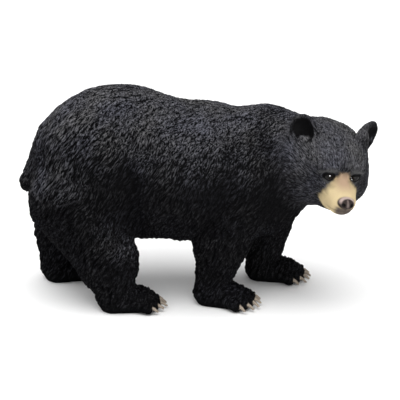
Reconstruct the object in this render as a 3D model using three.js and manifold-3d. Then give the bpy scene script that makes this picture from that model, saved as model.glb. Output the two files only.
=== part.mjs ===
// A walking black bear figurine, cast in one piece: millimetres, +Z up, body along +X, head turned to its right.
import * as THREE from "three";
import { mergeVertices } from "three/addons/utils/BufferGeometryUtils.js";
import Module from "manifold-3d";

// Driving dimensions: the trunk's rounded masses, each with a centre and radii, and its round bars
const RUMP = { centre: [-46, 0, 81], radii: [50.6, 37, 45], blend: 8 };
const BARREL = { centre: [-5, 0, 76], radii: [57, 38.5, 40.6], blend: 8 };
const CHEST = { centre: [33, 0, 73.5], radii: [31, 33, 35.5], blend: 7 };
const WITHERS = { centre: [40, 0, 102], radii: [13, 14, 9], blend: 5 };
const NECK = { from: [38, 0, 84], to: [61, -10, 85], radii: [29, 24.5], wide: 1, blend: 8 };
const TAIL = { from: [-88, 0, 99], to: [-99, 0, 69], radii: [4, 5.5], wide: 1.1, blend: 4 };

// Each leg: joints from the trunk down with a radius at each, then the paw's heel and its heading in degrees
const LEGS = {
  hindRight: {
    joints: [[-68, -13, 62], [-53.5, -24, 29], [-49.5, -25, 13]],
    radii: [30, 16.3, 12],
    wide: 0.8,
    heel: [-49.5, -25],
    heading: -4,
  },
  hindLeft: {
    joints: [[-70, 13, 62], [-82, 20, 32], [-84.5, 22, 13]],
    radii: [29, 15.5, 12],
    wide: 0.8,
    heel: [-86, 22],
    heading: 4,
  },
  foreRight: {
    joints: [[24, -14, 72], [12.2, -17, 37], [8, -15, 14]],
    radii: [25, 14.2, 10.3],
    wide: 0.85,
    heel: [7, -15],
    heading: -27,
  },
  foreLeft: {
    joints: [[36, 13, 70], [40, 21, 38], [38.5, 23.5, 14]],
    radii: [24, 13.8, 10.3],
    wide: 0.85,
    heel: [38, 24],
    heading: -20,
  },
};
const LEG_BLEND = 5;
const PAW = { heelRadius: 9.6, ballRadius: 7.4, ballAhead: 16.5, heelHeight: 5.4, ballHeight: 4.4, wide: 1.25 };
const TOE = { count: 5, radius: 3.1, ahead: 24, spread: 4.7, arc: 0.2, height: 3.4, blend: 0.8 };
const CLAW = { length: 4.4, radius: 0.95, drop: 2.4, bend: 0.6, sides: 6, rings: 3 };

// The head in its own frame: +X to the nose, +Y to its left, +Z to the crown
const HEAD = { centre: [74, -22, 87.5], yaw: -78, pitch: 16, roll: -8 };
const SKULL = { centre: [-2, 0, 2], radii: [24, 20.5, 18.5], blend: 9 };
const CHEEK = { centre: [3, 11, -8.5], radii: [15, 11, 13], blend: 6 };
const RUFF = { centre: [-4, 0, -13.5], radii: [16, 19, 12.5], blend: 8 };
const BROW = { centre: [11, 0, 5.4], radii: [9.6, 13.5, 8], blend: 6 };
const MUZZLE = { from: [12, 0, -4.5], to: [28.8, 0, -7], radii: [12, 7.2], wide: 1.06, blend: 4 };
const JAW = { from: [12, 0, -13.4], to: [26.5, 0, -10.4], radii: [8.8, 5], wide: 1.3, blend: 2 };
const NOSE = { centre: [34.2, 0, -5], radii: [4.2, 4.8, 3.2], blend: 0.8 };
const NOSTRIL = { centre: [37.6, 2.1, -4.2], radii: [1.9, 1.4, 1.3], blend: 0.8 };
const EYE = { centre: [18.8, 8, 3.2], radius: 2.6, blend: 0.9 };
const SOCKET = { centre: [22.6, 8.8, 2.8], radii: [4, 4.4, 3.2], blend: 3 };
const LID = { centre: [17.6, 8.6, 7], radii: [4.4, 5.2, 2.2], blend: 3 };
const EAR = {
  centre: [-4, 18.6, 16],
  facing: [0.7, 0.6, 0.1],
  splay: { left: 80, right: 28 },
  radii: [2.8, 9, 11],
  hollow: [3.6, 6.6, 7.8],
  hollowCentre: [3.2, 0, 1.8],
  blend: 2.2,
};
const TUFT = { centre: [1.2, 0, -7.2], radii: [3.8, 7.2, 5], blend: 2.5 };

// The carved coat: locks laid like shingles along the lie of the fur, none on the soles or the face
const LOCK = { spacing: 9, length: 24, width: 9, height: 2.4, mean: 0.6, jitter: 0.25 };
const LIE = { trunk: [-0.56, 0, -0.83], leg: [-0.4, 0, -0.92], legTop: 62, legBottom: 40, headReach: [24, 38] };
const BARE = { soleTop: 3, coatFrom: 9, faceFrom: 8, faceTo: 16 };
const SLEEK = { from: 70, to: 115, share: 0.35 };
const SOLE_CLEAR = 0.2;

// The faceted surface: the first net's cell, the block of cells tried at once, and the facets kept
const NET_STEP = 1.4;
const NET_BLOCK = 6;
const BOUNDS = { low: [-112, -74, -8], high: [112, 46, 134] };
const COAT_FACETS = 8600;
const HEAD_WEIGHT = 3;
const FACE_WEIGHT = 14;
const PAW_WEIGHT = 2;
const PAW_TOP = 16;
const COLOUR = 0x1d1d20;
const RAD = Math.PI / 180;

const clamp01 = (t) => Math.min(1, Math.max(0, t));
const smoothstep = (low, high, t) => {
  const s = clamp01((t - low) / (high - low));
  return s * s * (3 - 2 * s);
};
const mirror = ([x, y, z], side) => [x, side * y, z];

// Frames that carry local shapes into the body's frame
const BODY_FRAME = new THREE.Matrix4();
const HEAD_FRAME = new THREE.Matrix4()
  .makeRotationFromEuler(new THREE.Euler(HEAD.roll * RAD, HEAD.pitch * RAD, HEAD.yaw * RAD, "ZYX"))
  .setPosition(...HEAD.centre);

function earFrame(side) {
  const facing = new THREE.Vector3(...mirror(EAR.facing, side)).normalize();
  const splay = (side > 0 ? EAR.splay.left : EAR.splay.right) * RAD;
  const across = new THREE.Vector3(0, side * Math.sin(splay), Math.cos(splay)).cross(facing).normalize();
  const upright = facing.clone().cross(across);
  const local = new THREE.Matrix4().makeBasis(facing, across, upright).setPosition(...mirror(EAR.centre, side));
  return HEAD_FRAME.clone().multiply(local);
}

function pawFrame(leg) {
  return new THREE.Matrix4().makeRotationZ(leg.heading * RAD).setPosition(leg.heel[0], leg.heel[1], 0);
}

// A function that takes a body point into a frame's own coordinates
function intoFrame(frame) {
  const e = frame.clone().invert().elements;
  return (x, y, z) => [
    e[0] * x + e[4] * y + e[8] * z + e[12],
    e[1] * x + e[5] * y + e[9] * z + e[13],
    e[2] * x + e[6] * y + e[10] * z + e[14],
  ];
}

// Signed distance, nearly, to an ellipsoid: the scaled radius less one, over its slope
function ellipsoid(frame, centre, radii) {
  const local = intoFrame(frame);
  return (x, y, z) => {
    const [px, py, pz] = local(x, y, z);
    const qx = (px - centre[0]) / radii[0];
    const qy = (py - centre[1]) / radii[1];
    const qz = (pz - centre[2]) / radii[2];
    const reach = Math.hypot(qx, qy, qz);
    const slope = Math.hypot(qx / radii[0], qy / radii[1], qz / radii[2]);
    return slope < 1e-9 ? -Math.min(...radii) : (reach * (reach - 1)) / slope;
  };
}

// Signed distance, nearly, to a round bar from one point to another whose radius runs from the first to the second
function bar(frame, from, to, radii, wide) {
  const local = intoFrame(frame);
  const axis = to.map((v, i) => v - from[i]);
  const length2 = axis.reduce((sum, v) => sum + v * v, 0);
  return (x, y, z) => {
    const [px, py, pz] = local(x, y, z);
    const qx = px - from[0];
    const qy = py - from[1];
    const qz = pz - from[2];
    const t = clamp01((qx * axis[0] + qy * axis[1] + qz * axis[2]) / length2);
    const gap = Math.hypot(qx - t * axis[0], (qy - t * axis[1]) / wide, qz - t * axis[2]);
    return (gap - radii[0] - t * (radii[1] - radii[0])) * Math.min(1, wide);
  };
}

// The forms that make the bear, each added to or cut from those before it with a soft seam
function trunkForms() {
  return [
    ...[RUMP, BARREL, CHEST, WITHERS].map((f) => added(ellipsoid(BODY_FRAME, f.centre, f.radii), f.blend)),
    ...[NECK, TAIL].map((f) => added(bar(BODY_FRAME, f.from, f.to, f.radii, f.wide), f.blend)),
  ];
}

function legForms(leg) {
  const forms = leg.joints.slice(1).map((joint, i) => {
    const radii = [leg.radii[i], leg.radii[i + 1]];
    return added(bar(BODY_FRAME, leg.joints[i], joint, radii, leg.wide), LEG_BLEND);
  });
  const frame = pawFrame(leg);
  const heel = [0, 0, PAW.heelHeight];
  const ball = [PAW.ballAhead, 0, PAW.ballHeight];
  forms.push(added(bar(frame, heel, ball, [PAW.heelRadius, PAW.ballRadius], PAW.wide), LEG_BLEND / 2));
  for (const toe of toePlaces()) {
    const root = [toe[0] - 2 * TOE.radius, toe[1] * 0.8, toe[2] + 1];
    forms.push(added(bar(frame, root, toe, [TOE.radius, TOE.radius], 1), TOE.blend));
  }
  return forms;
}

// Toe centres in the paw's frame, the outer ones set back along an arc
function toePlaces() {
  const middle = (TOE.count - 1) / 2;
  return Array.from({ length: TOE.count }, (_, i) => {
    const across = (i - middle) * TOE.spread;
    return [TOE.ahead - (TOE.arc / TOE.spread) * across * across, across, TOE.height];
  });
}

function headForms() {
  const both = (f) => [1, -1].map((side) => ellipsoid(HEAD_FRAME, mirror(f.centre, side), f.radii));
  const forms = [SKULL, RUFF, BROW].map((f) => added(ellipsoid(HEAD_FRAME, f.centre, f.radii), f.blend));
  forms.push(...both(CHEEK).map((sdf) => added(sdf, CHEEK.blend)));
  forms.push(...[MUZZLE, JAW].map((f) => added(bar(HEAD_FRAME, f.from, f.to, f.radii, f.wide), f.blend)));
  forms.push(added(ellipsoid(HEAD_FRAME, NOSE.centre, NOSE.radii), NOSE.blend));
  forms.push(...both(NOSTRIL).map((sdf) => cut(sdf, NOSTRIL.blend)));
  forms.push(...both(LID).map((sdf) => added(sdf, LID.blend)));
  forms.push(...both(SOCKET).map((sdf) => cut(sdf, SOCKET.blend)));
  forms.push(...both({ centre: EYE.centre, radii: Array(3).fill(EYE.radius) }).map((sdf) => added(sdf, EYE.blend)));
  for (const side of [1, -1]) {
    const frame = earFrame(side);
    forms.push(added(ellipsoid(frame, [0, 0, 0], EAR.radii), EAR.blend));
    forms.push(cut(ellipsoid(frame, EAR.hollowCentre, EAR.hollow), EAR.blend / 2));
    forms.push(added(ellipsoid(frame, TUFT.centre, TUFT.radii), TUFT.blend));
  }
  return forms;
}

function added(sdf, blend) {
  return { sdf, blend, sign: 1 };
}

function cut(sdf, blend) {
  return { sdf, blend, sign: -1 };
}

const FORMS = [...trunkForms(), ...Object.values(LEGS).flatMap(legForms), ...headForms()];

// Signed distance to the bare figure: the forms joined in turn by the smooth minimum, or cut by the smooth maximum
function figure(x, y, z) {
  let d = Infinity;
  for (const { sdf, blend, sign } of FORMS) {
    const own = sdf(x, y, z);
    if (d === Infinity) {
      d = own;
      continue;
    }
    const near = Math.max(blend - Math.abs(d - sign * own), 0);
    const seam = (near * near) / (4 * blend);
    d = sign > 0 ? Math.min(d, own) - seam : Math.max(d, -own) + seam;
  }
  return d;
}

// The outward slope of the figure's distance at a point, by central differences
function slopeAt(x, y, z) {
  const h = 0.05;
  return [
    (figure(x + h, y, z) - figure(x - h, y, z)) / (2 * h),
    (figure(x, y + h, z) - figure(x, y - h, z)) / (2 * h),
    (figure(x, y, z + h) - figure(x, y, z - h)) / (2 * h),
  ];
}

// Distances at the grid's points: a block far from the surface takes one value for all its points
function gridField([nx, ny, nz], at, place, step) {
  const field = new Float64Array(nx * ny * nz);
  const half = (NET_BLOCK - 1) / 2;
  const far = NET_BLOCK * step;
  for (let k = 0; k < nz; k += NET_BLOCK)
    for (let j = 0; j < ny; j += NET_BLOCK)
      for (let i = 0; i < nx; i += NET_BLOCK) {
        const middle = figure(place(i + half, 0), place(j + half, 1), place(k + half, 2));
        const fill = Math.abs(middle) > far;
        for (let c = k; c < Math.min(k + NET_BLOCK, nz); c++)
          for (let b = j; b < Math.min(j + NET_BLOCK, ny); b++)
            for (let a = i; a < Math.min(i + NET_BLOCK, nx); a++)
              field[at(a, b, c)] = fill ? middle : figure(place(a, 0), place(b, 1), place(c, 2));
      }
  return field;
}

// Where two corners of a grid square touch only across its diagonal, take the shallower one out of the body
function partTouching(field, [sx, sy, sz]) {
  const squares = [[sx, sy], [sy, sz], [sx, sz]];
  let parted = true;
  while (parted) {
    parted = false;
    for (let p = 0; p < field.length - sx - sy - sz; p++)
      for (const [s, t] of squares) {
        const a = field[p] < 0;
        const b = field[p + s] < 0;
        if (a === b || a !== field[p + s + t] < 0 || b !== field[p + t] < 0) continue;
        const [one, other] = a ? [p, p + s + t] : [p + s, p + t];
        field[field[one] > field[other] ? one : other] = 1e-3;
        parted = true;
      }
  }
}

// A closed net of quads on the figure's surface: one vertex in each grid cell that the surface crosses
function netSurface(step) {
  const counts = BOUNDS.low.map((low, i) => Math.ceil((BOUNDS.high[i] - low) / step) + 1);
  const [nx, ny, nz] = counts;
  const at = (i, j, k) => (k * ny + j) * nx + i;
  const place = (i, axis) => BOUNDS.low[axis] + i * step;
  const field = gridField(counts, at, place, step);
  partTouching(field, [1, nx, nx * ny]);

  const vertices = [];
  const cellVertex = new Map();
  for (let k = 0; k < nz - 1; k++)
    for (let j = 0; j < ny - 1; j++)
      for (let i = 0; i < nx - 1; i++) {
        const crossing = cellCrossing(field, at, i, j, k);
        if (!crossing) continue;
        cellVertex.set(at(i, j, k), vertices.length);
        vertices.push([i, j, k].map((cell, axis) => place(cell + crossing[axis], axis)));
      }

  const quads = [];
  const steps = [[1, 0, 0], [0, 1, 0], [0, 0, 1]];
  for (let k = 1; k < nz - 1; k++)
    for (let j = 1; j < ny - 1; j++)
      for (let i = 1; i < nx - 1; i++)
        steps.forEach((along, axis) => {
          const inside = field[at(i, j, k)] < 0;
          const nextInside = field[at(i + along[0], j + along[1], k + along[2])] < 0;
          if (inside === nextInside) return;
          const b = steps[(axis + 1) % 3];
          const c = steps[(axis + 2) % 3];
          const around = [[0, 0], [1, 0], [1, 1], [0, 1]].map(([s, t]) =>
            cellVertex.get(at(i - s * b[0] - t * c[0], j - s * b[1] - t * c[1], k - s * b[2] - t * c[2])),
          );
          quads.push(inside ? around : around.reverse());
        });
  return { vertices, quads };
}

// Mean of the places where a cell's edges cross the surface, in cell units, or null
function cellCrossing(field, at, i, j, k) {
  const sum = [0, 0, 0];
  let crossings = 0;
  for (let axis = 0; axis < 3; axis++)
    for (let s = 0; s < 2; s++)
      for (let t = 0; t < 2; t++) {
        const start = [0, 0, 0];
        start[(axis + 1) % 3] = s;
        start[(axis + 2) % 3] = t;
        const end = [...start];
        end[axis] = 1;
        const a = field[at(i + start[0], j + start[1], k + start[2])];
        const b = field[at(i + end[0], j + end[1], k + end[2])];
        if (a < 0 === b < 0) continue;
        start[axis] = a / (a - b);
        start.forEach((v, n) => (sum[n] += v));
        crossings++;
      }
  return crossings ? sum.map((v) => v / crossings) : null;
}

// Points moved along the slope onto the surface
function ontoSurface(points) {
  return points.map((point) => {
    let p = point;
    for (let pass = 0; pass < 2; pass++) {
      const g = slopeAt(...p);
      const scale = figure(...p) / (g[0] * g[0] + g[1] * g[1] + g[2] * g[2] + 1e-9);
      p = p.map((v, i) => v - Math.max(-1, Math.min(1, scale * g[i])));
    }
    return p;
  });
}

// The way the fur lies at a point: back and down on the trunk, down the legs, away from the nose on the head
const intoHead = intoFrame(HEAD_FRAME);
const noseTip = new THREE.Vector3(...NOSE.centre).applyMatrix4(HEAD_FRAME);
const headCentre = new THREE.Vector3(...HEAD.centre);

function lieAt(point) {
  const onLeg = smoothstep(LIE.legTop, LIE.legBottom, point.z);
  const trunk = new THREE.Vector3(...LIE.trunk).lerp(new THREE.Vector3(...LIE.leg), onLeg).normalize();
  const fromNose = point.clone().sub(noseTip).normalize();
  return fromNose.lerp(trunk, smoothstep(...LIE.headReach, point.distanceTo(headCentre)));
}

// How much coat a point carries, from none on the soles and the face to one, with less on the sleek back
function coatAt({ x, y, z }) {
  const face = smoothstep(BARE.faceFrom, BARE.faceTo, intoHead(x, y, z)[0]);
  const nearHead = 1 - smoothstep(...LIE.headReach, headCentre.distanceTo(new THREE.Vector3(x, y, z)));
  const sleek = 1 - SLEEK.share * smoothstep(SLEEK.from, SLEEK.to, z);
  return sleek * smoothstep(BARE.soleTop, BARE.coatFrom, z) * (1 - face * nearHead);
}

// A repeatable number from 0 to 1 for a lock
const chance = (index, salt) => {
  const wave = Math.sin(index * 12.9898 + salt * 78.233) * 43758.5453;
  return wave - Math.floor(wave);
};

// The locks, each a root point with its normal, its lie and the direction across it
function furLocks() {
  const roots = ontoSurface(netSurface(LOCK.spacing).vertices);
  return roots.map((root, index) => {
    const normal = new THREE.Vector3(...slopeAt(...root)).normalize();
    const along = lieAt(new THREE.Vector3(...root)).projectOnPlane(normal).normalize();
    const across = normal.clone().cross(along);
    const shift = [1, 2].map((salt) => (chance(index, salt) - 0.5) * 2 * LOCK.jitter * LOCK.spacing);
    const at = new THREE.Vector3(...root).addScaledVector(along, shift[0]).addScaledVector(across, shift[1]);
    return { at, normal, along, across };
  });
}

// A lock's height at a point: it swells from the root and falls away to a narrow tip
function lockHeight(lock, point) {
  const away = point.clone().sub(lock.at);
  const t = away.dot(lock.along) / LOCK.length + 0.5;
  if (t <= 0 || t >= 1 || Math.abs(away.dot(lock.normal)) > LOCK.width) return 0;
  const half = (LOCK.width / 2) * Math.sqrt(1 - t * t);
  const s = away.dot(lock.across) / half;
  return Math.abs(s) < 1 ? LOCK.height * 2.6 * t * Math.sqrt(1 - t) * (1 - s * s) : 0;
}

// Surface points raised by the highest lock over each, about the locks' mean height
function withCoat(points) {
  const cell = LOCK.length;
  const key = (x, y, z) => [x, y, z].map((v) => Math.floor(v / cell)).join();
  const cells = new Map();
  for (const lock of furLocks()) {
    const name = key(lock.at.x, lock.at.y, lock.at.z);
    cells.set(name, [...(cells.get(name) ?? []), lock]);
  }
  const offsets = [-cell, 0, cell];
  return points.map((p) => {
    const point = new THREE.Vector3(...p);
    let height = 0;
    for (const dx of offsets)
      for (const dy of offsets)
        for (const dz of offsets)
          for (const lock of cells.get(key(p[0] + dx, p[1] + dy, p[2] + dz)) ?? [])
            height = Math.max(height, lockHeight(lock, point));
    const normal = new THREE.Vector3(...slopeAt(...p)).normalize();
    return point.addScaledVector(normal, (height - LOCK.mean * LOCK.height) * coatAt(point)).toArray();
  });
}

// How closely the facets follow the surface at a point: most on the face, more on the head and the paws
function careAt([x, y, z]) {
  const onHead = 1 - smoothstep(...LIE.headReach, headCentre.distanceTo(new THREE.Vector3(x, y, z)));
  const onFace = smoothstep(BARE.faceFrom, BARE.faceTo, intoHead(x, y, z)[0]);
  const head = HEAD_WEIGHT + (FACE_WEIGHT - HEAD_WEIGHT) * onFace;
  return 1 + (head - 1) * onHead + (PAW_WEIGHT - 1) * smoothstep(PAW_TOP, 0, z);
}

// A heap that hands back the edge of least cost
class EdgeHeap {
  items = [];

  push(item) {
    let i = this.items.push(item) - 1;
    while (i > 0) {
      const parent = (i - 1) >> 1;
      if (this.items[parent].cost <= item.cost) break;
      this.items[i] = this.items[parent];
      i = parent;
    }
    this.items[i] = item;
  }

  pop() {
    const least = this.items[0];
    const last = this.items.pop();
    const count = this.items.length;
    let i = 0;
    while (2 * i + 1 < count) {
      let child = 2 * i + 1;
      if (child + 1 < count && this.items[child + 1].cost < this.items[child].cost) child++;
      if (this.items[child].cost >= last.cost) break;
      this.items[i] = this.items[child];
      i = child;
    }
    if (count) this.items[i] = last;
    return least;
  }
}

// A mesh thinned to a number of facets by closing, one at a time, the edge whose loss moves the surface least
class Thinner {
  constructor(points, facets) {
    this.points = points.map((p) => new THREE.Vector3(...p));
    this.facets = facets.map((f) => [...f]);
    this.rings = points.map(() => new Set());
    this.stamps = points.map(() => 0);
    this.errors = points.map(() => new Float64Array(10));
    this.left = facets.length;
    this.heap = new EdgeHeap();
    this.facets.forEach((facet, f) => this.enter(facet, f, careAt(points[facet[0]])));
    this.facets.forEach(([a, b, c]) => [[a, b], [b, c], [c, a]].forEach(([p, q]) => p < q && this.offer(p, q)));
  }

  // Add a facet's plane to the error of each of its corners
  enter(facet, f, care) {
    const normal = this.normalOf(facet);
    const area = normal.length();
    normal.normalize();
    const offset = -normal.dot(this.points[facet[0]]);
    const plane = [normal.x, normal.y, normal.z, offset];
    for (const v of facet) {
      this.rings[v].add(f);
      const { x, y, z } = this.points[v];
      this.addPlane(this.errors[v], plane, area * care);
      [[1, 0, 0, -x], [0, 1, 0, -y], [0, 0, 1, -z]].forEach((p) => this.addPlane(this.errors[v], p, area * 2e-3));
    }
  }

  addPlane(error, [a, b, c, d], weight) {
    [a * a, a * b, a * c, a * d, b * b, b * c, b * d, c * c, c * d, d * d].forEach((v, i) => (error[i] += weight * v));
  }

  normalOf([a, b, c], moved = -1, to = null) {
    const [p, q, r] = [a, b, c].map((v) => (v === moved ? to : this.points[v]));
    return q.clone().sub(p).cross(r.clone().sub(p));
  }

  // Put an edge on the heap with the point that loses least
  offer(a, b) {
    const e = this.errors[a].map((v, i) => v + this.errors[b][i]);
    const solve = new THREE.Matrix3().set(e[0], e[1], e[2], e[1], e[4], e[5], e[2], e[5], e[7]).invert();
    const point = new THREE.Vector3(-e[3], -e[6], -e[8]).applyMatrix3(solve);
    const cost = Math.max(0, e[9] + e[3] * point.x + e[6] * point.y + e[8] * point.z);
    this.heap.push({ cost, a, b, point, stamp: this.stamps[a] + this.stamps[b] });
  }

  neighbours(v) {
    const near = new Set();
    for (const f of this.rings[v]) this.facets[f].forEach((w) => w !== v && near.add(w));
    return near;
  }

  // Closing an edge must keep one closed skin and turn no facet over
  mayClose({ a, b, point, stamp }) {
    if (!this.rings[a].size || !this.rings[b].size || this.stamps[a] + this.stamps[b] !== stamp) return false;
    const nearB = this.neighbours(b);
    const shared = [...this.neighbours(a)].filter((v) => nearB.has(v));
    if (shared.length !== 2) return false;
    return [a, b].every((v) =>
      [...this.rings[v]].every((f) => {
        const facet = this.facets[f];
        if (facet.includes(a) && facet.includes(b)) return true;
        const before = this.normalOf(facet);
        const after = this.normalOf(facet, v, point);
        return before.dot(after) > 0.25 * before.length() * after.length();
      }),
    );
  }

  close({ a, b, point }) {
    for (const f of [...this.rings[b]]) {
      const facet = this.facets[f];
      if (facet.includes(a)) {
        facet.forEach((v) => this.rings[v].delete(f));
        this.left--;
      } else {
        facet[facet.indexOf(b)] = a;
        this.rings[a].add(f);
      }
    }
    this.rings[b].clear();
    this.points[a].copy(point);
    this.errors[a].forEach((_, i) => (this.errors[a][i] += this.errors[b][i]));
    this.stamps[a]++;
    for (const v of this.neighbours(a)) this.offer(a, v);
  }

  thinTo(count) {
    while (this.left > count && this.heap.items.length) {
      const edge = this.heap.pop();
      if (this.mayClose(edge)) this.close(edge);
    }
    const kept = this.facets.filter((facet, f) => this.rings[facet[0]].has(f));
    return { points: this.points, facets: kept };
  }
}

// A claw: a tapering round horn that curves down from the toe
function clawGeometry(frame, toe) {
  const positions = [];
  const index = [];
  for (let ring = 0; ring < CLAW.rings; ring++) {
    const t = ring / CLAW.rings;
    const radius = CLAW.radius * (1 - t * CLAW.bend);
    for (let side = 0; side < CLAW.sides; side++) {
      const angle = (2 * Math.PI * side) / CLAW.sides;
      positions.push([...clawPoint(toe, t), radius * Math.cos(angle), radius * Math.sin(angle)]);
      const next = (side + 1) % CLAW.sides;
      const [p, q] = [side, next].map((s) => ring * CLAW.sides + s);
      if (ring + 1 < CLAW.rings) index.push(p, q, p + CLAW.sides, q, q + CLAW.sides, p + CLAW.sides);
      else index.push(p, q, CLAW.rings * CLAW.sides);
      if (ring === 0 && side > 1) index.push(0, side, side - 1);
    }
  }
  positions.push([...clawPoint(toe, 1), 0, 0]);
  const points = positions.map(([x, y, z, side, rise]) => new THREE.Vector3(x, y + side, z + rise).applyMatrix4(frame));
  return new THREE.BufferGeometry().setFromPoints(points).setIndex(index);
}

function clawPoint([x, y, z], t) {
  return [x + TOE.radius * 0.5 + CLAW.length * t, y * (1 + 0.12 * t), z + 0.8 - CLAW.drop * t * t];
}

const wasm = await Module();
wasm.setup();

function solidOf(geometry) {
  const numbers = new Float32Array(geometry.getAttribute("position").array);
  const triVerts = new Uint32Array(geometry.getIndex().array);
  return new wasm.Manifold(new wasm.Mesh({ numProp: 3, vertProperties: numbers, triVerts }));
}

function bearGeometry() {
  const net = netSurface(NET_STEP);
  const facets = net.quads.flatMap(([a, b, c, d]) => [[a, b, c], [a, c, d]]);
  const coat = new Thinner(withCoat(ontoSurface(net.vertices)), facets).thinTo(COAT_FACETS);
  const skinPoints = coat.points.map((p) => (Math.abs(p.z) < SOLE_CLEAR ? p.clone().setZ(-SOLE_CLEAR) : p));
  const skin = new THREE.BufferGeometry().setFromPoints(skinPoints).setIndex(coat.facets.flat());

  const claws = Object.values(LEGS).flatMap((leg) => toePlaces().map((toe) => clawGeometry(pawFrame(leg), toe)));
  const span = BOUNDS.high.map((high, i) => 2 * (high - BOUNDS.low[i]));
  const below = new THREE.BoxGeometry(...span).translate(0, 0, -span[2] / 2);
  below.deleteAttribute("normal");
  below.deleteAttribute("uv");

  const whole = wasm.Manifold.union([skin, ...claws].map(solidOf)).subtract(solidOf(mergeVertices(below)));
  const { vertProperties, triVerts } = whole.getMesh();
  const geometry = new THREE.BufferGeometry();
  geometry.setAttribute("position", new THREE.BufferAttribute(vertProperties, 3));
  geometry.setIndex(new THREE.BufferAttribute(triVerts, 1));
  return geometry;
}

const geometry = bearGeometry();
geometry.computeBoundingBox();
const middle = geometry.boundingBox.getCenter(new THREE.Vector3());
geometry.translate(-middle.x, -middle.y, -geometry.boundingBox.min.z);
geometry.computeVertexNormals();

const bear = new THREE.Mesh(geometry, new THREE.MeshStandardMaterial({ color: COLOUR, roughness: 0.75 }));
bear.name = "bear";

const group = new THREE.Group();
group.name = "bear_figurine";
group.add(bear);

export default group;
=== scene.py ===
"""The looks of a cast, hand-painted figurine of a walking black bear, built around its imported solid."""

import itertools
import logging
import math
from dataclasses import dataclass
from enum import Enum

import bmesh
import bpy
import numpy as np
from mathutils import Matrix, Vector


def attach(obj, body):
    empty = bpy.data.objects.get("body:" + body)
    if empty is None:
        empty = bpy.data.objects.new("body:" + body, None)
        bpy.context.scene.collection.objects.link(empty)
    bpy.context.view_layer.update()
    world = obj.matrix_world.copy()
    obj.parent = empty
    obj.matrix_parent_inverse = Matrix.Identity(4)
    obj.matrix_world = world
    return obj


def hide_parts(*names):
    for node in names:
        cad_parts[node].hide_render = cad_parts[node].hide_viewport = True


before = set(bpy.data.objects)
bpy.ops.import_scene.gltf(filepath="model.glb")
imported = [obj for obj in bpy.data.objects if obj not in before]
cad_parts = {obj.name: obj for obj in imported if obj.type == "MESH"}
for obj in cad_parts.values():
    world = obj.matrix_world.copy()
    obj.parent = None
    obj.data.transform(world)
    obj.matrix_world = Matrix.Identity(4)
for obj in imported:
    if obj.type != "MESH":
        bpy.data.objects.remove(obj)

LOG = logging.getLogger("bear_figurine")
Array = np.ndarray
Pair = tuple[float, float]
Triple = tuple[float, float, float]
Mass = tuple[Triple, Triple, float]
Rod = tuple[Triple, Triple, Pair, float, float]
Colour = tuple[float, float, float, float]
Socket = bpy.types.NodeSocket
Value = Socket | float | Triple | Colour

MM = 0.001
FIGURE_MIDDLE = np.array([-2.1881, -9.0858, 0.0])
NET_LOW = np.array([-112.0, -74.0, -4.0])
NET_HIGH = np.array([112.0, 46.0, 134.0])
NET_STEP = 1.0
NET_BLOCK = 6
PIECE_TRIANGLES = 196000
SLOPE_STEP = 0.05
TINY = 1e-9
SIDES = (1, -1)


class Join(Enum):
    """How a form meets the forms before it."""

    ADD = 1
    CUT = -1


def smoothstep(low: float, high: float, value: Array) -> Array:
    """An S curve from 0 at low to 1 at high.

    Args:
        low: Where the curve leaves 0.
        high: Where it reaches 1; it may be below low.
        value: Numbers to read the curve at.

    Returns:
        The curve's height at each number.
    """
    t = np.clip((value - low) / (high - low), 0.0, 1.0)
    return t * t * (3.0 - 2.0 * t)


def dots(first: Array, second: Array) -> Array:
    """The dot product of each row of one array with the same row of another."""
    return np.einsum("ij,ij->i", first, second)


def lengths(vectors: Array) -> Array:
    """The length of each row of an array of vectors."""
    return np.sqrt(dots(vectors, vectors))


def unit(vectors: Array) -> Array:
    """Each row of an array of vectors, brought to length 1."""
    return vectors / np.maximum(lengths(vectors), TINY)[:, None]


def turn(axis: int, degrees: float) -> Array:
    """The rotation matrix about one body axis.

    Args:
        axis: 0, 1 or 2 for X, Y or Z.
        degrees: The angle, counter-clockwise.

    Returns:
        A 3 by 3 matrix.
    """
    c, s = math.cos(math.radians(degrees)), math.sin(math.radians(degrees))
    a, b = (axis + 1) % 3, (axis + 2) % 3
    matrix = np.eye(3)
    matrix[a, a] = matrix[b, b] = c
    matrix[a, b], matrix[b, a] = -s, s
    return matrix


@dataclass(frozen=True)
class Place:
    """A local frame: the columns of axes are its directions, in the body's frame."""

    axes: Array
    origin: Array

    def local(self, points: Array) -> Array:
        """Body points in this frame's own coordinates."""
        return (points - self.origin) @ self.axes

    def world(self, points: Array) -> Array:
        """Local points in the body's coordinates."""
        return points @ self.axes.T + self.origin


BODY = Place(np.eye(3), np.zeros(3))


@dataclass(frozen=True)
class Ellipsoid:
    """A rounded mass, added to or cut from the forms before it with a soft seam."""

    centre: Triple
    radii: Triple
    blend: float
    place: Place = BODY
    join: Join = Join.ADD

    def ball(self) -> tuple[Array, float]:
        """The centre and radius of a ball around the form."""
        return self.place.world(np.array(self.centre)), max(self.radii)

    def distance(self, points: Array) -> Array:
        """Nearly the signed distance: the scaled radius less one, over its slope.

        Args:
            points: Body points, one per row.

        Returns:
            A number per point, negative inside.
        """
        scaled = (self.place.local(points) - self.centre) / self.radii
        reach = lengths(scaled)
        slope = lengths(scaled / self.radii)
        return np.where(slope < TINY, -min(self.radii), reach * (reach - 1.0) / np.maximum(slope, TINY))


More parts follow.
